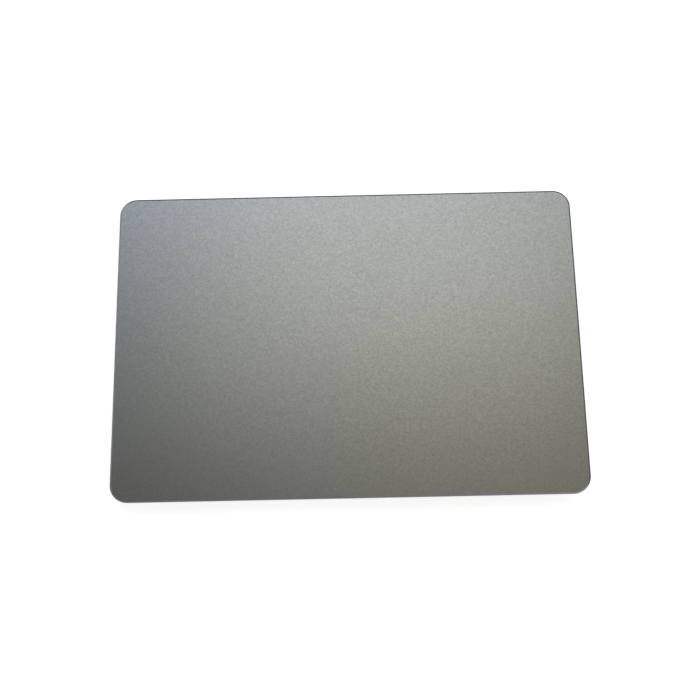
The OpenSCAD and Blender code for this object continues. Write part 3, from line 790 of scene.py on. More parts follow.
class Assembly:
    """A sub-assembly of the trackpad."""

    def build(self) -> None:
        """Makes its pieces."""
        raise NotImplementedError

    def dress(self) -> None:
        """Gives the CAD nodes that it keeps in view their finishes, where it has any."""


class GlassSide(IntEnum):
    """The glass's surfaces, by the number of their material."""

    FACE = 0
    BEVEL = 1
    WALL = 2
    BACK = 3


@dataclass
class GlassCover(Assembly):
    """The etched glass, with a polished bevel round its top edge, and the layers bonded under it."""

    corner: float = 4.5
    board_corner: float = 4.0
    corner_steps: int = 20
    bevel_width: float = 0.4
    bevel_rise: float = 0.22
    arris: float = 0.03
    glass_smooth: float = 5.5
    stiffener_edge: float = 0.06

    def glass(self) -> None:
        """Makes the glass: a wall, a bevel and the flat face."""
        low, high = box_mm("cover_glass")
        shape = Shape()
        faces = shape.plate(low, (high.x, high.y, high.z - self.bevel_rise), self.corner, self.corner_steps,
                            GlassSide.WALL)
        faces.sort(key=lambda face: face.calc_center_median().z)
        back, top = faces[0], faces[-1]
        arris = list(top.edges)
        strip = bmesh.ops.inset_region(shape.bm, faces=[top], thickness=self.bevel_width,
                                       depth=self.bevel_rise, use_even_offset=True)["faces"]
        for face in strip:
            face.material_index = GlassSide.BEVEL
        back.material_index = GlassSide.BACK
        top.material_index = GlassSide.FACE
        shape.bevel([line for line in arris if line.is_valid], self.arris)
        shape.place("cover_glass_plate", (ETCHED_GLASS, POLISHED_BEVEL, GROUND_WALL, BACK_PAINT),
                    "etched_glass", Body.PAD, ["cover_glass"], smooth=self.glass_smooth)

    def board(self) -> None:
        """Makes the touch board, with bare laminate round its edge."""
        shape = Shape()
        for face in shape.plate(*box_mm("sensor_board"), self.board_corner, self.corner_steps):
            face.material_index = int(abs(face.normal.z) < SQUARE_ON)
        shape.place("sensor_board_laminate", (BOARD, LAMINATE), "board", Body.PAD, ["sensor_board"])

    def build(self) -> None:
        """Makes the glass, the board and the stiffener."""
        self.glass()
        self.board()
        ease("stiffener_plate", "pressing", ANODISED, "stiffener", Body.PAD, self.stiffener_edge)

    def dress(self) -> None:
        """Gives the bonding films their finish."""
        dress("glass_bond", BLACK_BOND)
        dress("plate_bond", BLACK_BOND)


@dataclass
class Electronics(Assembly):
    """The chips and small parts under the board, seen from below through the plates' windows."""

    lift: float = 0.02
    round_steps: int = 24
    lead_pitch: float = 0.5
    lead_width: float = 0.24
    lead_height: float = 0.2
    lead_length: float = 0.4
    lead_reach: float = 0.03
    lead_margin: float = 0.5
    body_edge: float = 0.05
    mark_radius: float = 0.35
    mark_rise: float = 0.002
    mark_margin: float = 0.8
    core_inset: float = 0.06
    core_chamfer: float = 0.5
    core_edge: float = 0.08
    cap_length: float = 0.7
    cap_inset: float = 0.6
    cap_height: float = 0.35
    cap_edge: float = 0.03
    base_corner: float = 0.2
    base_steps: int = 4
    lid_inset: float = 0.12
    lid_drop: float = 0.08
    lid_corner: float = 0.3
    lid_steps: int = 5
    crown_inset: float = 0.35
    crown_height: float = 0.1
    can_edge: float = 0.04
    capacitor_length: float = 1.0
    capacitor_depth: float = 0.5
    capacitor_pitch: float = 1.5
    ceramic_inset: float = 0.1
    ceramic_edge: float = 0.03
    tinned_end: float = 0.24
    tinned_edge: float = 0.05
    pad_radius: float = 0.5
    pad_thick: float = 0.02
    pad_x: float = 28.4
    pad_y: float = 15.2
    pad_pitch: float = 2.1
    pad_columns: int = 3
    pad_rows: int = 3

    def chip(self, node: str) -> None:
        """Makes a flat chip with leads along its four sides.

        Args:
            node: The CAD node that it stands for.
        """
        low, high = box_mm(node)
        middle = (low + high) / 2
        shape = Shape()
        shape.block((low.x + self.lead_reach, low.y + self.lead_reach, low.z),
                    (high.x - self.lead_reach, high.y - self.lead_reach, high.z - self.lift),
                    edge=self.body_edge)
        under, over = low.z - self.mark_rise, low.z + self.mark_rise
        coin = [(0, under), (self.mark_radius, under), (self.mark_radius, over), (0, over)]
        shape.turned(low.x + self.mark_margin, high.y - self.mark_margin, coin, self.round_steps, material=2)
        count = int((high.x - low.x - 2 * self.lead_margin) / self.lead_pitch)
        half = self.lead_width / 2
        foot = high.z - self.lead_height
        for along in row(count, self.lead_pitch):
            for end in (low.y, high.y - self.lead_length):
                shape.block((middle.x + along - half, end, foot),
                            (middle.x + along + half, end + self.lead_length, high.z), material=1)
            for end in (low.x, high.x - self.lead_length):
                shape.block((end, middle.y + along - half, foot),
                            (end + self.lead_length, middle.y + along + half, high.z), material=1)
        shape.place(node + "_package", (EPOXY, TIN, MOULD_MARK), "chip", Body.PAD, [node])

    def inductor(self) -> None:
        """Makes the moulded inductor: a chamfered ferrite block between two tinned ends."""
        low, high = box_mm("boost_inductor")
        shape = Shape()
        shape.plate((low.x + self.core_inset, low.y, low.z),
                    (high.x - self.core_inset, high.y, high.z - self.lift),
                    self.core_chamfer, 1, edge=self.core_edge)
        for start in (low.x, high.x - self.cap_length):
            shape.block((start, low.y + self.cap_inset, high.z - self.cap_height),
                        (start + self.cap_length, high.y - self.cap_inset, high.z),
                        material=1, edge=self.cap_edge)
        shape.place("boost_inductor_block", (FERRITE, TIN), "ferrite", Body.PAD, ["boost_inductor"])

    def crystal(self) -> None:
        """Makes the crystal: a ceramic base with a seam-welded lid."""
        low, high = box_mm("clock_crystal")
        split = (low.z + high.z) / 2
        lid, crown = self.lid_inset, self.crown_inset
        shape = Shape()
        shape.plate((low.x, low.y, split), high, self.base_corner, self.base_steps, edge=self.can_edge)
        shape.plate((low.x + lid, low.y + lid, low.z + self.lid_drop), (high.x - lid, high.y - lid, split),
                    self.lid_corner, self.lid_steps, material=1)
        shape.plate((low.x + crown, low.y + crown, low.z),
                    (high.x - crown, high.y - crown, low.z + self.crown_height),
                    self.lid_corner, self.lid_steps, material=1, edge=self.can_edge)
        shape.place("clock_crystal_can", (ALUMINA, NICKEL), "crystal_can", Body.PAD, ["clock_crystal"])

    def capacitors(self) -> None:
        """Makes the rows of small capacitors along the chips, each with two tinned ends."""
        low, high = box_mm("board_capacitors")
        shape = Shape()
        pitch, depth, lift = self.capacitor_pitch, self.capacitor_depth, self.lift
        half, body = self.capacitor_length / 2, self.capacitor_length / 2 - self.ceramic_inset
        for node in ("touch_controller", "microcontroller", "coil_driver"):
            chip_low, chip_high = box_mm(node)
            room = chip_high.x - chip_low.x + pitch - self.capacitor_length
            for along in row(math.floor(room / pitch + SAME_PLACE), pitch):
                x = (chip_low.x + chip_high.x) / 2 + along
                for y in (low.y, high.y - depth):
                    shape.block((x - body, y + lift, low.z + lift),
                                (x + body, y + depth - lift, high.z - lift),
                                edge=self.ceramic_edge, segments=1)
                    for end in (x - half, x + half - self.tinned_end):
                        shape.block((end, y, low.z), (end + self.tinned_end, y + depth, high.z),
                                    material=1, edge=self.tinned_edge)
        shape.place("board_capacitor_rows", (CERAMIC, TIN), "capacitor", Body.PAD, ["board_capacitors"])

    def test_pads(self) -> None:
        """Makes the round gold test pads on the board, at the outer ends of the chips' windows."""
        high = box_mm("sensor_board")[0].z
        low = high - self.pad_thick
        coin = [(0, low), (self.pad_radius - self.pad_thick, low), (self.pad_radius, high), (0, high)]
        shape = Shape()
        for side in BOTH:
            for column in range(self.pad_columns):
                x = side * (self.pad_x + column * self.pad_pitch)
                for line in range(self.pad_rows):
                    shape.turned(x, self.pad_y + line * self.pad_pitch, coin, self.round_steps)
        shape.place("board_test_pads", (GOLD,), "contact", Body.PAD)

    def build(self) -> None:
        """Makes all the parts under the board."""
        for node in ("touch_controller", "microcontroller", "coil_driver", "gauge_amplifier"):
            self.chip(node)
        self.inductor()
        self.crystal()
        self.capacitors()
        self.test_pads()


@dataclass
class CableSocket(Assembly):
    """The flat cable's socket at the rear edge, with its flip latch."""

    latch_width: float = 14.5
    latch_radius: float = 0.4
    latch_edge: float = 0.1
    edge_steps: int = 3
    back_share: float = 0.96
    back_steps: int = 8
    ribs: int = 14
    rib_depth: float = 0.08
    pivot_radius: float = 0.22
    pivot_sides: int = 20
    housing_edge: float = 0.05
    contact_edge: float = 0.03

    def latch(self) -> None:
        """Makes the latch: a bar with a round back, grip ribs along its lip and a pivot at each end."""
        low, high = box_mm("cable_latch")
        middle = (low + high) / 2
        axis = Vector((middle.x, high.y - self.latch_radius, middle.z))
        lip = axis.y - self.latch_radius
        half = self.latch_width / 2
        shape = Shape()
        faces = shape.block((middle.x - half, low.y, low.z), (middle.x + half, high.y, high.z))
        back = [line for line in lines_of(faces)
                if extent(line, Axis.X) > half and line.verts[0].co.y > axis.y]
        shape.bevel(back, self.latch_radius * self.back_share, self.back_steps)
        front = [line for line in shape.bm.edges
                 if extent(line, Axis.X) > half and all(point.co.y < lip for point in line.verts)]
        shape.bevel(front, self.latch_edge, self.edge_steps)
        for i in range(1, 2 * self.ribs):
            shape.cut(middle.x - half + i * self.latch_width / (2 * self.ribs), Axis.X)
        grip = [face for face in shape.bm.faces if face.normal.y < -SQUARE_ON]
        grip.sort(key=lambda face: face.calc_center_median().x)
        for face in grip[1:-1:2]:
            shape.push([face], (0, self.rib_depth, 0))
        reach = (high.x - low.x) / 2 - half
        turn = Matrix.Rotation(math.pi / 2, 4, "Y")
        for side in BOTH:
            place = Matrix.Translation(axis + Vector((side * (half + reach / 2), 0, 0)))
            shape.rod(place @ turn, self.pivot_radius, reach, self.pivot_sides)
        shape.place("cable_latch_bar", (DARK_POLYMER,), "latch", Body.LATCH, ["cable_latch"])

    def build(self) -> None:
        """Makes the latch, the moulded housing, its contacts and its solder tabs."""
        self.latch()
        ease("cable_socket", "moulding", POLYMER, "socket", Body.PAD, self.housing_edge)
        ease("cable_contacts", "pressing", GOLD, "contact", Body.PAD, self.contact_edge)
        ease("cable_anchors", "pressing", TIN, "fastener", Body.PAD, self.housing_edge)


@dataclass
class ForceBeams(Assembly):
    """The four sprung beams, with their gauges below, their gel pads above and their rivets."""

    beam_width: float = 5.6
    root_end: float = 13.0
    tip_start: float = 25.5
    fillet: float = 1.2
    fillet_steps: int = 8
    inner_fillet: float = 0.4
    inner_steps: int = 5
    edge: float = 0.05
    bend_steps: int = 16
    gel_bulge: float = 0.22
    gel_corner: float = 1.0
    gel_steps: int = 8
    gel_cuts: int = 5
    gauge_lines: int = 8
    film_thick: float = 0.05
    film_corner: float = 0.3
    film_steps: int = 4
    foil_thick: float = 0.02
    foil_sunk: float = 0.004
    line_width: float = 0.16
    line_pitch: float = 0.34
    foil_start: float = 1.9
    foil_end: float = 6.5
    tab: float = 0.9
    tab_start: float = 0.4
    tab_lift: float = 0.01
    tab_corner: float = 0.3
    tab_steps: int = 5
    tab_edge: float = 0.015
    rivet_x: float = 3.1
    rivet_y: float = 8.5
    rivet_radius: float = 1.35
    rivet_shank: float = 0.8
    rivet_rim: float = 0.07
    rivet_dome: float = 0.28
    rivet_top: float = 0.15
    rivet_hole: float = 0.5
    rivet_depth: float = 0.32
    roll_steps: int = 12
    head_drop: float = 0.05
    head_inset: float = 0.08

    def bend(self, side: int, x: float, z: float) -> Bend:
        """Returns the bend of one beam, from its riveted root to its free tip."""
        return Bend(Body.MOUNT, Body.BEAMS, (x, side * self.root_end, z), (x, side * self.tip_start, z))

    def strip(self, corner: str, side: int) -> None:
        """Makes one strip: a stamped sheet with a narrow free part, eased along its outline.

        Args:
            corner: The corner's name.
            side: Its side in Y.
        """
        node = "flexure_" + corner
        low, high = box_mm(node)
        near, far = sorted((abs(low.y), abs(high.y)))
        x = (low.x + high.x) / 2
        pad, beam = (high.x - low.x) / 2, self.beam_width / 2
        shape = Shape()
        shape.cells([x - pad, x - beam, x + beam, x + pad],
                    [side * y for y in (near, self.root_end, self.tip_start, far)], low.z,
                    lambda column, line: column == 1 or line != 1)
        shape.thicken(set(), high.z - low.z)
        shape.join_flat()
        uprights = [line for line in shape.bm.edges if extent(line, Axis.Z) > LEVEL]
        inner = [line for line in uprights if not line.is_convex]
        shape.bevel([line for line in uprights if line.is_convex], self.fillet, self.fillet_steps)
        shape.bevel([line for line in inner if line.is_valid], self.inner_fillet, self.inner_steps)
        start, end = self.root_end + self.fillet, self.tip_start - self.fillet
        for i in range(self.bend_steps + 1):
            shape.cut(side * (start + (end - start) * i / self.bend_steps), Axis.Y)
        rims = [line for line in shape.bm.edges
                if line.calc_face_angle(0.0) > RIM_ANGLE and extent(line, Axis.Z) < LEVEL]
        shape.bevel(rims, self.edge)
        shape.place("flexure_strip_" + corner, (SPRING_STEEL,), "spring_steel", self.bend(side, x, low.z),
                    [node])

    def gel(self, corner: str) -> None:
        """Makes one gel pad: a soft block whose sides bulge between the two plates.

        Args:
            corner: The corner's name.
        """
        node = "gel_pad_" + corner
        low, high = box_mm(node)
        x, y, z = (low + high) / 2
        half = (high.z - low.z) / 2
        bulge = Vector((self.gel_bulge, self.gel_bulge, 0))
        shape = Shape()
        faces = shape.plate(low + bulge, high - bulge, self.gel_corner, self.gel_steps)
        uprights = [line for line in lines_of(faces) if extent(line, Axis.Z) > LEVEL]
        bmesh.ops.subdivide_edges(shape.bm, edges=uprights, cuts=self.gel_cuts, use_grid_fill=True)
        shape.bm.normal_update()
        for point in shape.bm.verts:
            share = (point.co.z - z) / half
            outward = Vector((point.normal.x, point.normal.y, 0))
            if abs(share) < 1 - SAME_PLACE and outward.length > LEVEL:
                point.co += outward.normalized() * self.gel_bulge * math.sqrt(1 - share * share)
        cushion = shape.place("gel_cushion_" + corner, (GEL,), "gel",
                              Bend(Body.BEAMS, Body.PAD, (x, y, low.z), (x, y, high.z)), [node])

    def gauge(self, corner: str, side: int) -> None:
        """Makes one strain gauge: a film with a foil that runs to and fro, and two soldered tabs.

        Args:
            corner: The corner's name.
            side: Its side in Y.
        """
        node = "strain_gauge_" + corner
        low, high = box_mm(node)
        x = (low.x + high.x) / 2
        root = low.y if side > 0 else high.y
        film_low = high.z - self.film_thick
        half = self.line_width / 2
        lines = [x + across for across in row(self.gauge_lines, self.line_pitch)]
        tab_end = self.tab_start + self.tab
        turns = (tab_end - half, self.foil_start, self.foil_start + self.line_width,
                 self.foil_end - self.line_width, self.foil_end)
        shape = Shape()
        shape.plate((low.x, low.y, film_low), high, self.film_corner, self.film_steps)

        def kept(column: int, stage: int) -> bool:
            """Keeps the lines, a turn at one end of each gap, and the leads of the outer lines.

            Args:
                column: The cell's column: a line, or a gap after one.
                stage: The cell's row, from the leads to the far turns.

            Returns:
                Whether the cell is foil.
            """
            line, gap = divmod(column, 2)
            if gap:
                return stage == (1 if line % 2 else 3)
            return stage > 0 or line in (0, self.gauge_lines - 1)

        known = set(shape.bm.faces)
        shape.cells([line + edge for line in lines for edge in (-half, half)],
                    [root + side * y for y in turns], film_low - self.foil_thick, kept)
        shape.thicken(known, self.foil_thick + self.foil_sunk, material=1)
        near, far = sorted((root + side * self.tab_start, root + side * tab_end))
        for line in (lines[0], lines[-1]):
            shape.plate((line - self.tab / 2, near, low.z + self.tab_lift),
                        (line + self.tab / 2, far, film_low),
                        self.tab_corner, self.tab_steps, material=2, edge=self.tab_edge)
        shape.place("strain_gauge_foil_" + corner, (POLYIMIDE, FOIL, TIN), "flex", self.bend(side, x, low.z),
                    [node])

    def rivets(self) -> None:
        """Makes the rivets: a rolled rim round a small hole below, a flat head above."""
        low, high = box_mm("flexure_rivets")
        reach = self.rivet_radius
        rim = low.z + self.rivet_dome
        under, over = rim + self.rivet_rim, high.z - self.rivet_top
        middle, half = (reach + self.rivet_hole) / 2, (reach - self.rivet_hole) / 2
        hole = [(0, low.z + self.rivet_depth), (self.rivet_hole, low.z + self.rivet_depth)]
        roll = [(middle - half * math.cos(turn), rim - self.rivet_dome * math.sin(turn))
                for turn in [math.pi * i / self.roll_steps for i in range(self.roll_steps + 1)]]
        stem = [(reach, under), (self.rivet_shank, under), (self.rivet_shank, over), (reach, over)]
        head = [(reach, high.z - self.head_drop), (reach - self.head_inset, high.z), (0, high.z)]
        shape = Shape()
        for corner, end in CORNERS:
            beam_low, beam_high = box_mm("flexure_" + corner)
            x = (beam_low.x + beam_high.x) / 2
            for side in BOTH:
                shape.turned(x + side * self.rivet_x, end * self.rivet_y, hole + roll + stem + head)
        shape.place("flexure_rivet_heads", (NICKEL,), "fastener", Body.MOUNT, ["flexure_rivets"])

    def build(self) -> None:
        """Makes the four beams and what belongs to them."""
        for corner, side in CORNERS:
            self.strip(corner, side)
            self.gel(corner)
            self.gauge(corner, side)
        self.rivets()


@dataclass
class MountFrame(Assembly):
    """The carrier plate, its tapped posts and washers, and the rubber press stops.

    The dome's points are shares of its radius, with the drop from its top or the rise from its foot.
    """

    carrier_edge: float = 0.06
    spigot_length: float = 0.7
    post_x: float = 54.1
    post_y: float = 34.4
    inner_x: float = 28.0
    post_radius: float = 2.0
    foot_chamfer: float = 0.1
    spigot_radius: float = 1.4
    spigot_chamfer: float = 0.08
    bore_radius: float = 0.8
    bore_chamfer: float = 0.25
    thread_depth: float = 0.13
    thread_pitch: float = 0.4
    thread_start: float = 0.1
    thread_room: float = 0.3
    thread_crest: tuple[float, float] = (0.4, 0.6)
    washer_bore: float = 1.05
    washer_edge: float = 0.05
    washer_arris: float = 0.03
    stop_x: float = 35.75
    stop_y: float = 22.0
    stop_radius: float = 1.4
    stop_steps: int = 28
    dome_top: tuple[tuple[float, float], ...] = ((0, 0), (0.5, 0), (0.68, 0.03), (0.78, 0.12))
    dome_foot: tuple[tuple[float, float], ...] = ((0.82, 0.16), (0.95, 0.12), (1, 0.08), (1, 0), (0, 0))

    def places(self) -> list[tuple[float, float]]:
        """Returns where the ten posts stand."""
        rows = [(x, y) for x in (-self.post_x, -self.inner_x, self.inner_x, self.post_x)
                for y in (-self.post_y, self.post_y)]
        return rows + [(-self.post_x, 0.0), (self.post_x, 0.0)]

    def posts(self) -> None:
        """Makes the posts: turned brass with a spigot, a chamfered foot and a thread in the bore."""
        low, high = box_mm("mount_posts")
        step = box_mm("carrier_plate")[1].z - self.spigot_length
        bore, root = self.bore_radius, self.bore_radius + self.thread_depth
        post, foot = self.post_radius, self.foot_chamfer
        spigot, tip = self.spigot_radius, self.spigot_chamfer
        outside = [(bore + self.bore_chamfer, low.z), (post - foot, low.z), (post, low.z + foot),
                   (post, step), (spigot, step), (spigot, high.z - tip), (spigot - tip, high.z),
                   (root, high.z)]
        thread = []
        for i in range(int((high.z - low.z - self.thread_room) / self.thread_pitch)):
            top = high.z - self.thread_start - i * self.thread_pitch
            thread += [(bore, top - self.thread_pitch * share) for share in self.thread_crest]
            thread.append((root, top - self.thread_pitch))
        shape = Shape()
        for x, y in self.places():
            shape.turned(x, y, outside + thread + outside[:1])
        shape.place("mount_post_set", (BRASS,), "post", Body.MOUNT, ["mount_posts"])

    def washers(self) -> None:
        """Makes the thin washers, eased round their lower edges."""
        low, high = box_mm("shim_washers")
        bore, reach = self.washer_bore, self.post_radius
        edge, arris = self.washer_edge, self.washer_arris
        ring = [(bore, low.z + arris), (bore + arris, low.z), (reach - edge, low.z), (reach, low.z + edge),
                (reach, high.z), (bore, high.z), (bore, low.z + arris)]
        shape = Shape()
        for x, y in self.places():
            shape.turned(x, y, ring)
        shape.place("shim_washer_set", (NICKEL,), "fastener", Body.MOUNT, ["shim_washers"])

    def stops(self) -> None:
        """Makes the press stops: moulded domes with a flat top and a thin flange."""
        low, high = box_mm("press_stops")
        dome = [(self.stop_radius * share, high.z - drop) for share, drop in self.dome_top]
        dome += [(self.stop_radius * share, low.z + rise) for share, rise in self.dome_foot]
        shape = Shape()
        for x in (-self.stop_x, self.stop_x):
            for y in (-self.stop_y, self.stop_y):
                shape.turned(x, y, dome, self.stop_steps)
        shape.place("press_stop_domes", (SILICONE,), "stop", Body.MOUNT, ["press_stops"])

    def build(self) -> None:
        """Makes the carrier plate and its posts, washers and stops."""
        ease("carrier_plate", "pressing", BRUSHED_STEEL, "carrier", Body.MOUNT, self.carrier_edge)
        self.posts()
        self.washers()
        self.stops()


@dataclass
class ClickActuator(Assembly):
    """The electromagnet in its tray: a laminated comb, four coils and the bar that they pull."""

    part_edge: float = 0.05
    poles: int = 4
    turns: int = 23
    turn_corner: float = 0.34
    wire_share: float = 0.98
    tape_length: float = 1.9
    tape_thick: float = 0.03
    tape_corner: float = 0.45
    tape_steps: int = 5
    screw_x: float = 18.0
    screw_radius: float = 1.35
    screw_height: float = 0.4
    shank_radius: float = 0.7
    shank_sides: int = 24
    socket_lift: float = 0.03
    socket_corner: float = 0.25
    socket_steps: int = 4
    housing_edge: float = 0.06
    feet: int = 8
    foot_pitch: float = 0.42
    foot_width: float = 0.2
    foot_height: float = 0.16
    foot_reach: float = 0.22
    foot_edge: float = 0.03
    staple_start: float = 0.15
    staple_width: float = 0.4
    staple_inset: float = 0.3
    staple_rise: float = 0.02
    staple_depth: float = 0.1
    staple_edge: float = 0.02

    def coil(self, number: int) -> None:
        """Makes one coil: turns of enamelled wire and a band of tape round their middle.

        Args:
            number: The coil's number, from 1.
        """
        node = "coil_%d" % number
        low, high = box_mm(node)
        middle = (low + high) / 2
        wire = (high.y - low.y) / self.turns / 2
        inset = wire + self.tape_thick
        half_x, half_z = (high.x - low.x) / 2 - inset, (high.z - low.z) / 2 - inset
        shape = Shape()
        for i in range(self.turns):
            centre = Vector((middle.x, low.y + wire * (2 * i + 1), middle.z))
            shape.wire_turn(centre, half_x, half_z, self.turn_corner, wire * self.wire_share)
        known = set(shape.bm.faces)
        band = shape.block((low.x, middle.y - self.tape_length / 2, low.z),
                           (high.x, middle.y + self.tape_length / 2, high.z))
        along = [line for line in lines_of(band) if extent(line, Axis.Y) > LEVEL]
        shape.bevel(along, self.tape_corner, self.tape_steps)
        ends = [face for face in shape.since(known) if abs(face.normal.y) > SQUARE_ON]
        bmesh.ops.delete(shape.bm, geom=ends, context="FACES_ONLY")
        bmesh.ops.solidify(shape.bm, geom=shape.since(known), thickness=self.tape_thick)
        shape.paint(known, material=1)
        shape.place("coil_winding_%d" % number, (COPPER_WIRE, TAPE), "winding", Body.MOUNT, [node])

    def screws(self) -> None:
        """Makes the tray's screw heads, with their shanks in the ears."""
        low, high = box_mm("tray_screws")
        seat = low.z + self.screw_height
        shape = Shape()
        for x in (-self.screw_x, self.screw_x):
            for y in (low.y + self.screw_radius, high.y - self.screw_radius):
                shape.cross_screw(x, y, low.z, self.screw_radius, self.screw_height)
                shape.rod(Matrix.Translation((x, y, (seat + high.z) / 2)), self.shank_radius, high.z - seat,
                          self.shank_sides)
        shape.place("tray_screw_heads", (NICKEL,), "fastener", Body.MOUNT, ["tray_screws"])

    def socket(self) -> None:
        """Makes the socket on the board: a moulded housing with a row of soldered feet along each side."""
        low, high = box_mm("coil_socket")
        middle = (low + high) / 2
        half, length = self.foot_width / 2, 2 * self.foot_reach
        shape = Shape()
        shape.plate((low.x + self.foot_reach, low.y, low.z),
                    (high.x - self.foot_reach, high.y, high.z - self.socket_lift),
                    self.socket_corner, self.socket_steps, edge=self.housing_edge)
        for along in row(self.feet, self.foot_pitch):
            y = middle.y + along
            for start in (low.x, high.x - length):
                shape.block((start, y - half, high.z - self.foot_height), (start + length, y + half, high.z),
                            material=1, edge=self.foot_edge, segments=1)
        shape.place("coil_socket_housing", (POLYMER, TIN), "socket", Body.PAD, ["coil_socket"])

    def plug(self) -> None:
        """Makes the coil circuit's plug, with a metal staple at each end."""
        low, high = box_mm("coil_plug")
        shape = Shape()
        shape.block(low, high, edge=self.housing_edge)
        for start in (low.y + self.staple_start, high.y - self.staple_start - self.staple_width):
            shape.block((low.x + self.staple_inset, start, low.z - self.staple_rise),
                        (high.x - self.staple_inset, start + self.staple_width, low.z + self.staple_depth),
                        material=1, edge=self.staple_edge, segments=1)
        shape.place("coil_plug_body", (DARK_POLYMER, TIN), "plug", Body.PAD, ["coil_plug"])

    def build(self) -> None:
        """Makes the coils on their core, the tray, the screws, the socket and the plug."""
        for number in range(1, self.poles + 1):
            self.coil(number)
            ease("bobbin_%d" % number, "moulding", DARK_POLYMER, "bobbin", Body.MOUNT, self.part_edge)
        ease("actuator_tray", "pressing", DULL_NICKEL, "tray", Body.MOUNT, self.part_edge)
        ease("stator_core", "stack", CORE_STEEL, "core", Body.MOUNT, self.part_edge)
        ease("armature_bar", "stack", CORE_STEEL, "core", Body.PAD, self.part_edge)
        self.screws()
        self.socket()
        self.plug()

    def dress(self) -> None:
        """Gives the film and the bar's screws their finishes."""
        dress("tray_film", POLYESTER)
        dress("armature_screws", NICKEL)


@dataclass
class FlexCircuits(Assembly):
    """The flexible circuits: one to each side's gauges, and one from the coils to their plug."""

    beam_x: float = 44.0
    width: float = 2.6
    thick: float = 0.12
    rise: float = 0.012
    lines: int = 5
    run_end: float = 13.5
    run_steps: int = 12
    branch_y: float = 11.45
    rise_start: float = 32.7
    rise_end: float = 29.7
    tail_end: float = 26.7
    tail_steps: int = 60
    stub_height: float = 0.82
    stub_edge: float = 0.03
    fall_start: float = 24.6
    plug_length: float = 1.2
    coil_steps: int = 90

    def gauge_flex(self, side: str, sign: int) -> None:
        """Makes one side's circuit: a strip along the carrier plate and a tail that rises to the board.

        Args:
            side: The side's name.
            sign: Its side in X.
        """
        node = "gauge_flex_" + side
        low, high = box_mm(node)
        under, climb = low.z, high.z - self.thick - low.z
        middle, half = sign * self.beam_x, self.width / 2
        inner = self.beam_x - half

        def run(along: float, across: float) -> tuple[float, float, float]:
            """Returns a point of the straight strip."""
            return middle + (across - 0.5) * self.width, (2 * along - 1) * self.run_end, under

        def tail(along: float, across: float) -> tuple[float, float, float]:
            """Finds a point of the tail, which rises in a smooth S.

            Args:
                along: Share of the way along the tail.
                across: Share of the way across it.

            Returns:
                The point.
            """
            x = inner + (self.tail_end - inner) * along
            z = under + climb * smooth_share(x, self.rise_start, self.rise_end)
            return sign * x, self.branch_y + (across - 0.5) * self.width, z

        shape = Shape()
        shape.ribbon(self.run_steps, self.lines, self.thick, self.rise, run)
        shape.ribbon(self.tail_steps, self.lines, self.thick, self.rise, tail)
        for y in (-self.run_end - self.thick, self.run_end):
            shape.block((middle - half, y, under), (middle + half, y + self.thick, under + self.stub_height),
                        edge=self.stub_edge, segments=1)
        bend = Bend(Body.MOUNT, Body.BEAMS, (sign * self.rise_start, self.branch_y, under),
                    (sign * self.rise_end, self.branch_y, under))
        shape.place(node + "_circuit", (POLYIMIDE, FILM_COPPER), "flex", bend, [node])

    def coil_flex(self) -> None:
        """Makes the coils' circuit: flat on the yoke, then down to its plug."""
        low, high = box_mm("coil_flex")
        top, drop = high.z - self.thick, high.z - self.thick - low.z
        y = (low.y + high.y) / 2
        fall_end = high.x - self.plug_length

        def path(along: float, across: float) -> tuple[float, float, float]:
            """Finds a point of the circuit, which falls in a smooth S.

            Args:
                along: Share of the way along the circuit.
                across: Share of the way across it.

            Returns:
                The point.
            """
            x = low.x + (high.x - low.x) * along
            z = top - drop * smooth_share(x, self.fall_start, fall_end)
            return x, y + (across - 0.5) * self.width, z

        shape = Shape()
        shape.ribbon(self.coil_steps, self.lines, self.thick, self.rise, path)
        bend = Bend(Body.MOUNT, Body.BEAMS, (self.fall_start, y, low.z), (fall_end, y, low.z))
        shape.place("coil_flex_circuit", (POLYIMIDE, FILM_COPPER), "flex", bend, ["coil_flex"])

    def build(self) -> None:
        """Makes the three circuits."""
        for side, sign in SIDES:
            self.gauge_flex(side, sign)
        self.coil_flex()


@dataclass(frozen=True)
class Lamp:
    """A soft rectangular lamp: its place, its width and height in millimetres, its watts and its colour."""

    name: str
    place: tuple[float, float, float]
    size: tuple[float, float]
    power: float
    colour: str


@dataclass(frozen=True)
class Flag:
    """A dark card on edge: its middle, its half width and height in millimetres, and its turn in degrees."""

    name: str
    middle: tuple[float, float, float]
    half: tuple[float, float]
    turn: float
    axis: str
    cloth: Finish


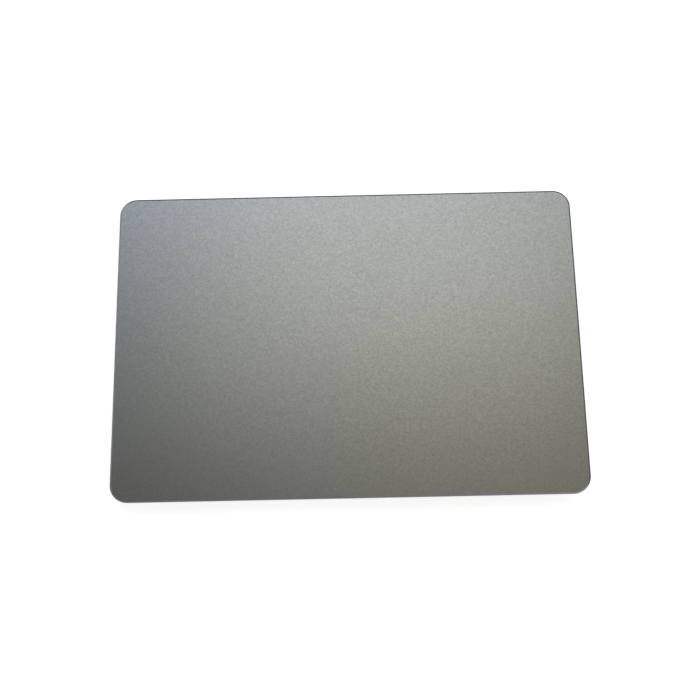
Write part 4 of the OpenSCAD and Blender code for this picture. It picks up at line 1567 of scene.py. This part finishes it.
@dataclass
class Studio:
    """The floor, the light and the camera. Places are in millimetres."""

    camera_place: tuple[float, float, float] = (2.1, -69.3, 262.64)
    camera_aim: tuple[float, float, float] = (0.67, -2.46, 5.2)
    camera_roll: float = -2.41
    camera_near: float = 10.0
    lens: float = 52.92
    sensor: float = 36.0
    floor_half: float = 3000.0
    floor_glow: float = 0.74
    floor_colour: str = "#dcdcda"
    floor_shade: str = "#d8d8d6"
    floor_fibre: float = 0.8
    room_colour: str = "#ffffff"
    dim_aim: tuple[float, float, float] = (-0.25, 0.0, 0.97)
    dim_level: float = 0.0
    bright_level: float = 1.0
    dim_inner: float = 0.85
    dim_outer: float = 0.4
    lamps: tuple[Lamp, ...] = (
        Lamp("key_softbox_near", (37, 243, 690), (430, 215), 0.56, "#fffbed"),
        Lamp("key_softbox_far", (38, 428, 590), (460, 220), 0.834, "#d4e1ff"),
        Lamp("rear_left_window", (-310, 490, 580), (260, 200), 0.839, "#b8caff"),
        Lamp("right_fill", (190, -60, 690), (240, 200), 0.035, "#ffc300"),
    )
    cards: tuple[Flag, ...] = (
        Flag("rear_flag", (4, 62, 6.5), (78, 6.5), 90, "X", BLACK_CLOTH),
        Flag("right_flag", (82, 4, 8), (8, 58), -90, "Y", GREY_CLOTH),
    )

    def stand(self, name: str, held: bpy.types.ID, place: Vector, aim: Vector) -> bpy.types.Object:
        """Stands a camera or a lamp in the scene.

        Args:
            name: Its name.
            held: Its data.
            place: Where it stands, in metres.
            aim: The point that it looks at, in metres.

        Returns:
            The object.
        """
        made = bpy.data.objects.new(name, held)
        made.location = place
        made.rotation_mode = "QUATERNION"
        made.rotation_quaternion = (aim - place).to_track_quat("-Z", "Y")
        bpy.context.scene.collection.objects.link(made)
        return made

    def camera(self) -> None:
        """Sets the camera where the photograph was taken from."""
        lens = bpy.data.cameras.new("photo_camera")
        lens.lens, lens.sensor_width = self.lens, self.sensor
        lens.clip_start = self.camera_near * MM
        view = self.stand("photo_camera", lens, Vector(self.camera_place) * MM, Vector(self.camera_aim) * MM)
        view.rotation_quaternion @= Quaternion((0, 0, 1), math.radians(self.camera_roll))
        bpy.context.scene.camera = view

    def lamp(self, lamp: Lamp) -> None:
        """Hangs a lamp that looks at the object.

        Args:
            lamp: The lamp.
        """
        light = bpy.data.lights.new(lamp.name, "AREA")
        light.shape = "RECTANGLE"
        light.size, light.size_y = [length * MM for length in lamp.size]
        light.energy = lamp.power
        light.color = linear(lamp.colour)[:3]
        self.stand(lamp.name, light, Vector(lamp.place) * MM, Vector()).visible_camera = False

    def sheet(self, name: str, corners: Matrix, material: bpy.types.Material) -> bpy.types.Object:
        """Adds a flat stage sheet.

        Args:
            name: Its name.
            corners: The matrix that sizes and places a sheet of 2 by 2 metres.
            material: Its material.

        Returns:
            The sheet.
        """
        bm = bmesh.new()
        bmesh.ops.create_grid(bm, x_segments=1, y_segments=1, size=1.0, matrix=corners)
        mesh = bpy.data.meshes.new(name)
        bm.to_mesh(mesh)
        bm.free()
        mesh.materials.append(material)
        made = bpy.data.objects.new(name, mesh)
        bpy.context.scene.collection.objects.link(made)
        return made

    def floor(self) -> None:
        """Lays a pale floor that keeps the object's shadow.

        It is clear when seen from below, and clear to the room's light on the object's under side.
        """
        paper = bpy.data.materials.new("pale_paper_floor")
        paper.use_nodes = True
        tree = paper.node_tree
        tree.nodes.clear()
        place = add_node(tree, "ShaderNodeTexCoord").outputs["Object"]
        fibre = add_node(tree, "ShaderNodeTexNoise",
                         {"Vector": place, "Scale": 1 / (self.floor_fibre * MM), "Detail": FINE_DETAIL})
        tone = add_node(tree, "ShaderNodeMix",
                        {0: fibre.outputs[0], 6: linear(self.floor_colour), 7: linear(self.floor_shade)},
                        data_type="RGBA")
        matt = add_node(tree, "ShaderNodeBsdfDiffuse", {"Color": tone.outputs[2]})
        path = add_node(tree, "ShaderNodeLightPath").outputs
        seen = path["Is Camera Ray"]
        for ray in ("Is Glossy Ray", "Is Transmission Ray"):
            seen = add_node(tree, "ShaderNodeMath", {0: seen, 1: path[ray]}, operation="MAXIMUM").outputs[0]
        glow = add_node(tree, "ShaderNodeMath", {0: seen, 1: self.floor_glow}, operation="MULTIPLY")
        white = add_node(tree, "ShaderNodeEmission", {"Strength": glow.outputs[0]})
        both = add_node(tree, "ShaderNodeAddShader", {0: matt.outputs[0], 1: white.outputs[0]})
        clear = add_node(tree, "ShaderNodeBsdfTransparent")
        under = add_node(tree, "ShaderNodeNewGeometry").outputs["Backfacing"]
        for ray in ("Is Diffuse Ray", "Is Shadow Ray"):
            under = add_node(tree, "ShaderNodeMath", {0: under, 1: path[ray]}, operation="MAXIMUM").outputs[0]
        out = add_node(tree, "ShaderNodeMixShader", {0: under, 1: both.outputs[0], 2: clear.outputs[0]})
        add_node(tree, "ShaderNodeOutputMaterial", {"Surface": out.outputs[0]})
        size = self.floor_half * MM
        self.sheet("floor", Matrix.Diagonal((size, size, 1, 1)), paper)

    def flag(self, flag: Flag) -> None:
        """Stands a dark card beside the object, which the glass's bevel mirrors as a dark line.

        Args:
            flag: The card.
        """
        wide, tall = [length * MM for length in flag.half]
        corners = (Matrix.Translation(Vector(flag.middle) * MM)
                   @ Matrix.Rotation(math.radians(flag.turn), 4, flag.axis)
                   @ Matrix.Diagonal((wide, tall, 1, 1)))
        card = self.sheet(flag.name, corners, flag.cloth.material())
        card.visible_camera = False
        card.visible_shadow = False
        card.visible_diffuse = False

    def world(self) -> None:
        """Lights the room evenly, with a dim ceiling towards the left that the glass mirrors."""
        room = bpy.data.worlds.new("studio_room")
        bpy.context.scene.world = room
        room.use_nodes = True
        tree = room.node_tree
        tree.nodes.clear()
        way = add_node(tree, "ShaderNodeTexCoord").outputs["Generated"]
        near = add_node(tree, "ShaderNodeVectorMath", {0: way, 1: Vector(self.dim_aim).normalized()},
                        operation="DOT_PRODUCT")
        level = add_node(tree, "ShaderNodeMapRange",
                         {"Value": near.outputs["Value"],
                          "From Min": self.dim_outer, "From Max": self.dim_inner,
                          "To Min": self.bright_level, "To Max": self.dim_level},
                         interpolation_type="SMOOTHSTEP")
        seen = add_node(tree, "ShaderNodeLightPath").outputs["Is Camera Ray"]
        strength = add_node(tree, "ShaderNodeMix", {0: seen, 2: level.outputs[0], 3: 1.0})
        sky = add_node(tree, "ShaderNodeBackground",
                       {"Color": linear(self.room_colour), "Strength": strength.outputs[0]})
        add_node(tree, "ShaderNodeOutputWorld", {"Surface": sky.outputs[0]})

    def build(self) -> None:
        """Sets up the camera, the room, the cards and the lamps."""
        self.camera()
        self.floor()
        for card in self.cards:
            self.flag(card)
        self.world()
        for lamp in self.lamps:
            self.lamp(lamp)
        bpy.context.scene.view_settings.view_transform = "Standard"


def main() -> None:
    """Builds and dresses every sub-assembly, then the studio."""
    logging.basicConfig(level=logging.INFO, format="%(name)s: %(message)s")
    for assembly in (GlassCover(), Electronics(), CableSocket(), ForceBeams(), MountFrame(), ClickActuator(),
                     FlexCircuits()):
        LOG.info("%s", type(assembly).__name__)
        assembly.build()
        assembly.dress()
    Studio().build()


if __name__ == "__main__":
    main()
